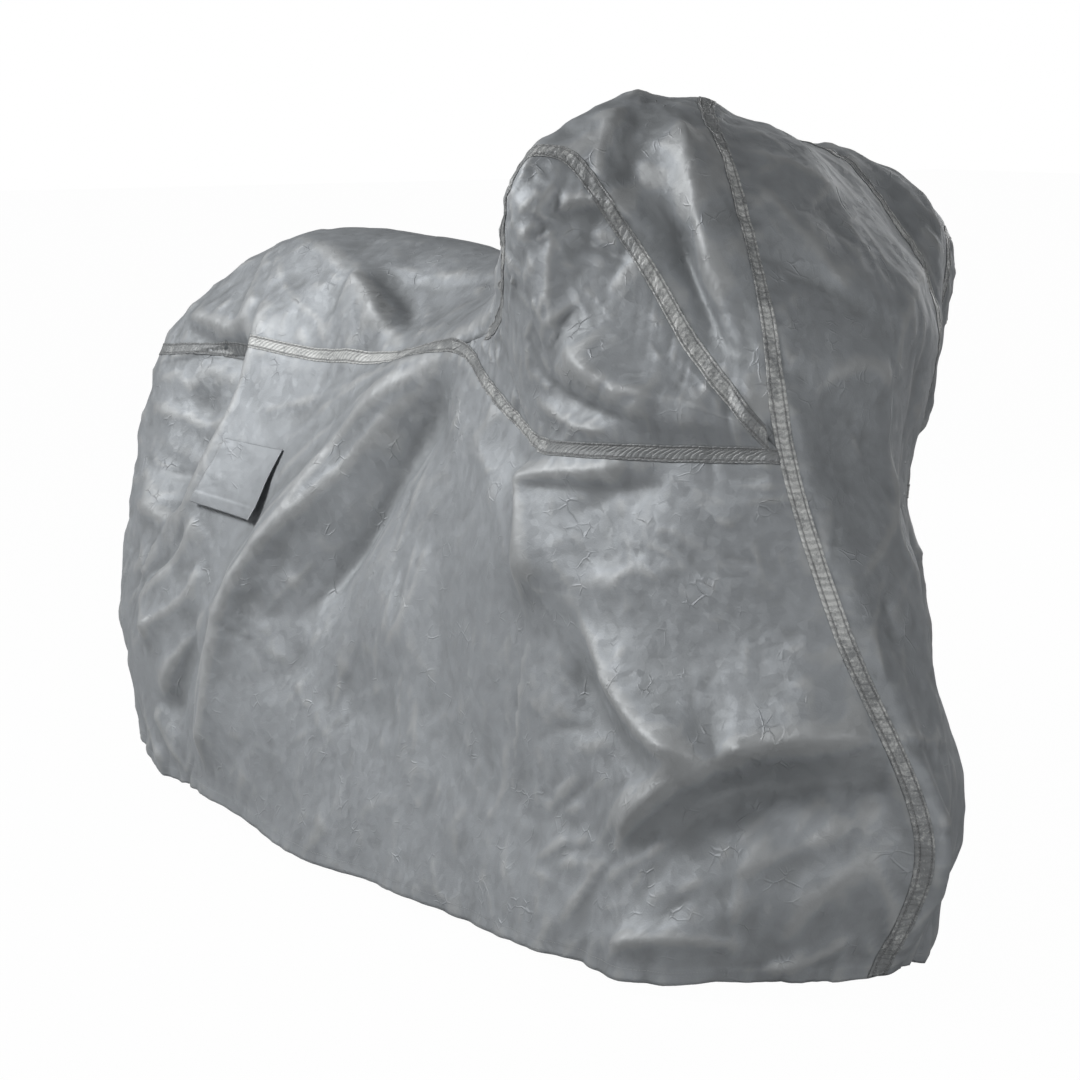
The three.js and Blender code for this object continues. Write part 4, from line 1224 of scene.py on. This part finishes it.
@dataclass
class FrontPanel(Panel):
    """Between the front seams of both sides, from the hem up to its arched top."""

    def grid(self, form: Form) -> tuple:
        """Rows go from the front seams to the nose, and columns from the right hem over to the left."""
        rows = np.linspace(0.0, 1.0, int(330.0 / self.spacing) + 1)
        columns = np.linspace(HEM, SPINE, int(1620.0 / self.spacing) + 1)
        halves = []
        for hand in (Side.RIGHT, Side.LEFT):
            level = np.broadcast_to(columns[None, :], (len(rows), len(columns)))
            asked = np.minimum(level, SPINE - 0.2)
            seam = form.shift_station(hand, np.full_like(level, FRONT), asked, SEAM_GAP / 2)
            station = seam + rows[:, None] * (NOSE - seam)
            halves.append((np.full_like(station, float(hand)), station, level))
        return tuple(np.concatenate([a, b[:, -2::-1]], axis=1) for a, b in zip(*halves))


@dataclass
class SeamPath:
    """A seam as a line of places, with the way to step off it."""

    side: Array
    station: Array
    level: Array
    step_station: Array         # change of station for one millimetre across
    step_level: Array           # change of level for one millimetre across

    def offset(self, distance: Array) -> tuple:
        """Places at distances (columns) from the line (rows)."""
        d = np.asarray(distance)[None, :]
        station = self.station[:, None] + d * self.step_station[:, None]
        level = self.level[:, None] + d * self.step_level[:, None]
        return np.broadcast_to(self.side[:, None], station.shape), station, level


@dataclass
class TapedSeam:
    """A tape over a seam with its two rows of stitches."""

    name: str
    stitches: str
    spacing: float = 5.0
    across: tuple = (-12.0, -11.2, -9.8, -8.2, -5.8, -2.5, 0.0, 2.5, 5.8, 8.2, 9.8, 11.2, 12.0)
    height: tuple = (0.9, 1.5, 1.75, 1.3, 1.9, 2.15, 1.9, 2.15, 1.9, 1.3, 1.75, 1.5, 0.9)
    rows: tuple = (-8.2, 8.2)
    pale: tuple = ((0.0, 0.4), (13.0, 0.4))     # how much of the tape looks white, by place

    def path(self, form: Form) -> SeamPath:
        """The seam's line."""
        raise NotImplementedError

    def measure(self, places: tuple) -> Array:
        """What the places of the pale stretches are counted in: stations."""
        return places[1]

    def build(self, shop: Workshop) -> None:
        """Makes the tape and its stitches."""
        path = self.path(shop.drape.form)
        places = path.offset(self.across)
        points, rise = shop.drape.cloth(*places, np.array(self.height)[None, :])
        flat = np.stack([run_of(points, 0), np.broadcast_to(np.array(self.across) * MM, rise.shape)], -1)
        share = np.interp(self.measure(places), *zip(*self.pale))
        tape = cloth_object("cloth_" + self.name, points, flat, {"pale": share}, 0.35)
        dress(tape, shop.tape, (self.name,))
        for_rows = [stitch_row(shop.drape, path, row, 1.45) for row in self.rows]
        stitching(self.stitches, for_rows, shop)


STITCH_EVERY = 4.4
STITCH_LONG = 3.4
STITCH_RADIUS = 0.5


def stitch_row(drape: Drape, path: SeamPath, distance: float, lift: float) -> tuple:
    """Centres, directions and normals of the stitches of one row.

    Args:
        drape: The draped cloth.
        path: The seam's line.
        distance: Millimetres from it.
        lift: Millimetres outside the cloth.

    Returns:
        Three arrays (N, 3).
    """
    side, station, level = path.offset([distance])
    points = drape.cloth(side, station, level, lift)[0][:, 0]
    normals = drape.form.normal(side, station, level)[:, 0]
    run = np.concatenate([[0.0], np.cumsum(np.linalg.norm(np.diff(points, axis=0), axis=1))])
    at = np.arange(STITCH_EVERY, run[-1] - STITCH_EVERY, STITCH_EVERY)
    centre = np.stack([np.interp(at, run, points[:, k]) for k in range(3)], axis=-1)
    ahead = np.stack([np.interp(at + 1.0, run, points[:, k]) for k in range(3)], axis=-1)
    normal = np.stack([np.interp(at, run, normals[:, k]) for k in range(3)], axis=-1)
    return centre, unit(ahead - centre), unit(normal)


def stitching(name: str, rows: list, shop: Workshop) -> bpy.types.Object:
    """All stitches of a seam as one mesh: each is a slim lens of two rings and two tips.

    Args:
        name: The piece's name.
        rows: What stitch_row gave for each row.
        shop: The drape and the finishes.

    Returns:
        The object.
    """
    centre, along, normal = (np.concatenate([row[k] for row in rows]) for k in range(3))
    across = np.cross(normal, along)
    turn = np.linspace(0.0, 2.0 * math.pi, 4, endpoint=False) + math.pi / 4
    places = [(x, STITCH_RADIUS * r * math.cos(a), STITCH_RADIUS * r * math.sin(a))
              for x, r in ((-0.5, 0.35), (0.0, 1.0), (0.5, 0.35)) for a in turn]
    shape = np.array(places) * [STITCH_LONG, 1.0, 1.0]
    points = (centre[:, None] + shape[None, :, :1] * along[:, None] + shape[None, :, 1:2] * across[:, None]
              + shape[None, :, 2:] * normal[:, None])
    ring = [[k, (k + 1) % 4, (k + 1) % 4 + 4, k + 4] for k in range(4)]
    ring += [[a + 4 for a in quad] for quad in ring] + [[3, 2, 1, 0], [8, 9, 10, 11]]
    quads = np.array(ring)[None] + 12 * np.arange(len(centre))[:, None, None]
    piece = bpy.data.objects.new(name, new_mesh(name, points.reshape(-1, 3), quads.reshape(-1, 4)))
    bpy.context.collection.objects.link(piece)
    dress(piece, shop.thread, ())
    return piece


@dataclass
class WaistSeam(TapedSeam):
    """Tape over the waist seam of one side, from the middle of the tail to the front seam's tape."""

    side: Side = Side.RIGHT

    def path(self, form: Form) -> SeamPath:
        """The line at the waist's level."""
        stop = float(form.shift_station(self.side, FRONT, WAIST, -TAPE_HALF - 0.6))
        station = even_stations(form, self.side, float(WAIST), 0.004, stop, self.spacing)
        level = np.full_like(station, float(WAIST))
        per_level = form.stretch(self.side, station, level, 0.0, 0.2)
        up = -float(self.side) / per_level
        return SeamPath(np.full_like(station, float(self.side)), station, level, 0 * station, up)


@dataclass
class GussetSeam(TapedSeam):
    """Tape over the upper seam of one gusset."""

    side: Side = Side.RIGHT
    start: float = 6.6
    stop: float = 10.82

    def path(self, form: Form) -> SeamPath:
        """The line along the gusset's upper edge."""
        samples = np.linspace(self.start, self.stop, 600)
        p = form.point(self.side, samples, gusset_top(samples))
        run = np.concatenate([[0.0], np.cumsum(np.linalg.norm(np.diff(p, axis=0), axis=1))])
        count = int(run[-1] / self.spacing)
        station = np.interp(np.linspace(0.0, run[-1], count + 1), run, samples)
        up = -float(self.side) / form.gusset_slant(self.side, station)
        side = np.full_like(station, float(self.side))
        return SeamPath(side, station, gusset_top(station), 0 * station, up)


@dataclass
class FrontSeam(TapedSeam):
    """Tape over the front seam, from the right hem over the top to the left hem."""

    across: tuple = (-14.0, -13.2, -10.8, -8.2, -6.0, -3.0, 0.0, 3.0, 6.0, 8.2, 10.8, 13.2, 14.0)

    def measure(self, places: tuple) -> Array:
        """What the places of the pale stretches are counted in: levels."""
        return places[2]

    def path(self, form: Form) -> SeamPath:
        """The line at the front seam's station, up one side and down the other."""
        samples = np.linspace(0.01, SPINE, 600)
        halves = []
        for hand in (Side.RIGHT, Side.LEFT):
            p = form.point(hand, np.full(600, float(FRONT)), samples)
            run = np.concatenate([[0.0], np.cumsum(np.linalg.norm(np.diff(p, axis=0), axis=1))])
            level = np.interp(np.linspace(0.0, run[-1], int(run[-1] / self.spacing)), run, samples)
            station = np.full_like(level, float(FRONT))
            asked = np.minimum(level, SPINE - 0.2)
            step = 1.0 / form.stretch(hand, station, asked, 0.2, 0.0)
            halves.append((np.full_like(level, float(hand)), station, level, step))
        side, station, level, step = (np.concatenate([a, b[-2::-1]]) for a, b in zip(*halves))
        return SeamPath(side, station, level, -step, 0 * step)


@dataclass
class VentFlap:
    """The vent flap: sewn along its top, open along its foot, which has a raised band."""

    name: str = "vent_flap"
    top: tuple = ((3.5, 2.4), (4.0, 2.4))
    foot: tuple = ((3.42, 2.02), (3.98, 1.98))
    lift_top: float = 4.0
    lift_foot: float = 12.0
    band: float = 0.16          # share of its height that the raised band takes

    def places(self, across: Array, up: Array) -> tuple:
        """Station and level of places given across and up the flap, each from 0 to 1."""
        corners = np.array([self.foot, self.top])
        low = corners[0, 0] + across[..., None] * (corners[0, 1] - corners[0, 0])
        high = corners[1, 0] + across[..., None] * (corners[1, 1] - corners[1, 0])
        place = low + up[..., None] * (high - low)
        return place[..., 0], place[..., 1]

    def build(self, shop: Workshop) -> None:
        """Makes the flap with the raised band along its foot."""
        across, up = np.meshgrid(np.linspace(0, 1, 56), np.linspace(0, 1, 64), indexing="ij")
        station, level = self.places(across, up)
        side = np.full_like(station, float(Side.RIGHT))
        billow = 5.0 * np.sin(math.pi * across) * np.sin(math.pi * np.clip(up, 0, 1)) ** 0.8
        curl = 4.0 * ramp((across - 0.75) / 0.25) * (1 - up)
        band = 1.0 * (1 - ramp((up - self.band) / 0.03))
        crumple = 1.2 * facets(np.stack([across * 4, up * 5, across + up], axis=-1), 5)
        lift = self.lift_foot + (self.lift_top - self.lift_foot) * ramp(up) + billow * 0.5 + curl + band
        points, rise = shop.drape.cloth(side, station, level, lift + crumple)
        flat = np.stack([run_of(points, 0), run_of(points, 1)], axis=-1)
        # crease: paler ridges and painted shade in the valleys, in the cloth's colour
        values = {"crease": crease_tone(rise), "crinkle": np.full(rise.shape, 0.35)}
        flap = cloth_object("cloth_" + self.name, points, flat, values, 0.8)
        dress(flap, shop.cloth, (self.name,))


@dataclass
class Studio:
    """Floor, lights, background and camera. None of it is part of the cover."""

    ground: float = -11.8 * MM
    camera_at: tuple = (4.2296, -3.2657, 1.2982)
    camera_yaw: float = 53.0
    camera_down: float = 8.3
    lens: float = 105.0
    bright_side: tuple = (0.72, -0.62, 0.3)
    dome: tuple = (0.12, 0.2)   # brightness away from that side and towards it

    def camera(self) -> None:
        """The camera at the photo's viewing angle."""
        data = bpy.data.cameras.new("camera")
        data.lens = self.lens
        data.sensor_width = 36.0
        camera = bpy.data.objects.new("camera", data)
        camera.location = self.camera_at
        camera.rotation_euler = (math.radians(90.0 - self.camera_down), 0.0, math.radians(self.camera_yaw))
        bpy.context.collection.objects.link(camera)
        bpy.context.scene.camera = camera

    def light(self, name: str, at: tuple, aim: tuple, size: float, power: float) -> None:
        """One soft square light, aimed at a place."""
        data = bpy.data.lights.new(name, "AREA")
        data.size = size
        data.energy = power
        lamp = bpy.data.objects.new(name, data)
        lamp.location = at
        lamp.rotation_euler = (Vector(aim) - Vector(at)).to_track_quat("-Z", "Y").to_euler()
        bpy.context.collection.objects.link(lamp)

    @staticmethod
    def seen_white(tree: bpy.types.NodeTree, lit: bpy.types.Node, share: float) -> bpy.types.Node:
        """Adds white to what is seen directly, so that it lights nothing: a plain white backdrop."""
        path = tree.nodes.new("ShaderNodeLightPath")
        part = tree.nodes.new("ShaderNodeMath")
        part.operation = "MULTIPLY"
        part.inputs[1].default_value = share
        white = tree.nodes.new("ShaderNodeEmission")
        mix = tree.nodes.new("ShaderNodeMixShader")
        tree.links.new(path.outputs["Is Camera Ray"], part.inputs[0])
        tree.links.new(part.outputs[0], mix.inputs[0])
        tree.links.new(lit.outputs[0], mix.inputs[1])
        tree.links.new(white.outputs[0], mix.inputs[2])
        return mix

    def floor(self) -> None:
        """A plain pale floor."""
        half = 30.0
        corners = [(-half, -half, self.ground), (half, -half, self.ground),
                   (half, half, self.ground), (-half, half, self.ground)]
        mesh = bpy.data.meshes.new("floor")
        mesh.from_pydata(corners, [], [(0, 1, 2, 3)])
        floor = bpy.data.objects.new("floor", mesh)
        t = NodeTree("floor")
        shader = t.add("BsdfPrincipled", {"Base Color": (0.55, 0.55, 0.55, 1.0), "Roughness": 0.9})
        mesh.materials.append(t.finish(self.seen_white(t.tree, shader, 0.985)))
        bpy.context.collection.objects.link(floor)

    def surroundings(self) -> None:
        """A dim studio, brighter to one side, with a white backdrop."""
        world = bpy.data.worlds.new("studio")
        bpy.context.scene.world = world
        world.use_nodes = True
        tree = world.node_tree
        tree.nodes.clear()
        output = tree.nodes.new("ShaderNodeOutputWorld")
        background = tree.nodes.new("ShaderNodeBackground")
        direction = tree.nodes.new("ShaderNodeTexCoord")
        towards = tree.nodes.new("ShaderNodeVectorMath")
        towards.operation = "DOT_PRODUCT"
        towards.inputs[1].default_value = self.bright_side
        fade = tree.nodes.new("ShaderNodeMapRange")
        for k, value in enumerate((-1.0, 1.0, *self.dome), start=1):
            fade.inputs[k].default_value = value
        tree.links.new(direction.outputs["Generated"], towards.inputs[0])
        tree.links.new(towards.outputs["Value"], fade.inputs[0])
        tree.links.new(fade.outputs[0], background.inputs["Strength"])
        tree.links.new(self.seen_white(tree, background, 1.0).outputs[0], output.inputs[0])

    def build(self) -> None:
        """Sets the whole studio up."""
        self.camera()
        self.floor()
        self.surroundings()
        self.light("key", (-2.1, -3.3, 3.3), (0.1, 0.0, 0.55), 1.5, 160.0)
        self.light("side", (4.6, -0.9, 2.2), (0.1, 0.0, 0.55), 2.0, 55.0)
        self.light("rear", (-1.9, 4.6, 1.9), (0.0, 0.0, 0.6), 2.6, 60.0)
        bpy.context.scene.view_settings.view_transform = "Standard"


def hem_stitching(shop: Workshop) -> None:
    """One row of stitches round the hem."""
    form = shop.drape.form
    rows = []
    for side in Side:
        station = even_stations(form, side, 0.1, 0.01, NOSE - 0.01, 5.0)
        level = np.zeros_like(station)
        up = 1.0 / form.stretch(side, station, level, 0.0, 0.2)
        path = SeamPath(np.full_like(station, float(side)), station, level, 0 * station, up)
        rows.append(stitch_row(shop.drape, path, Drape.HEM_WIDTH - 3.5, 0.3))
    stitching("hem_stitching", rows, shop)


def main() -> None:
    """Builds the studio, the panels, the seams, the flap and the hem."""
    logging.basicConfig(level=logging.INFO, format="%(message)s")
    Studio().build()
    drape = Drape(Form())
    shop = Workshop(drape, CoatedCloth().build(), SeamTape().build(), Thread().build())
    panels = (
        SidePanel("side_panel_right", 6.2, side=Side.RIGHT),
        SidePanel("side_panel_left", 7.6, side=Side.LEFT),
        BarGusset("bar_gusset_right", 4.5, side=Side.RIGHT),
        BarGusset("bar_gusset_left", 5.5, side=Side.LEFT),
        TopPanel("top_panel", 6.2),
        FrontPanel("front_panel", 6.2),
    )
    for panel in panels:
        panel.build(shop)
    seams = (
        WaistSeam("waist_tape_right", "waist_stitching_right", side=Side.RIGHT,
                  pale=((3.2, 0.1), (3.35, 1.0), (5.0, 0.9), (5.6, 0.4), (6.6, 0.3), (7.6, 0.75),
                        (8.3, 0.5), (8.7, 0.05), (11.0, 0.0))),
        WaistSeam("waist_tape_left", "waist_stitching_left", side=Side.LEFT),
        GussetSeam("gusset_tape_right", "gusset_stitching_right", side=Side.RIGHT,
                   pale=((7.6, 0.35), (8.8, 0.4), (9.1, 0.1), (9.5, 0.2), (9.7, 0.8), (10.5, 0.7),
                         (10.7, 0.2))),
        GussetSeam("gusset_tape_left", "gusset_stitching_left", side=Side.LEFT),
        FrontSeam("front_tape", "front_stitching",
                  pale=((0.0, 0.3), (1.2, 0.35), (1.9, 0.5), (2.2, 1.0), (2.6, 0.9), (3.1, 0.6),
                        (3.6, 0.7), (4.2, 0.6), (4.6, 0.9), (4.8, 0.1), (6.0, 0.1))),
    )
    for seam in seams:
        seam.build(shop)
    VentFlap().build(shop)
    hem_stitching(shop)


if __name__ == "__main__":
    main()
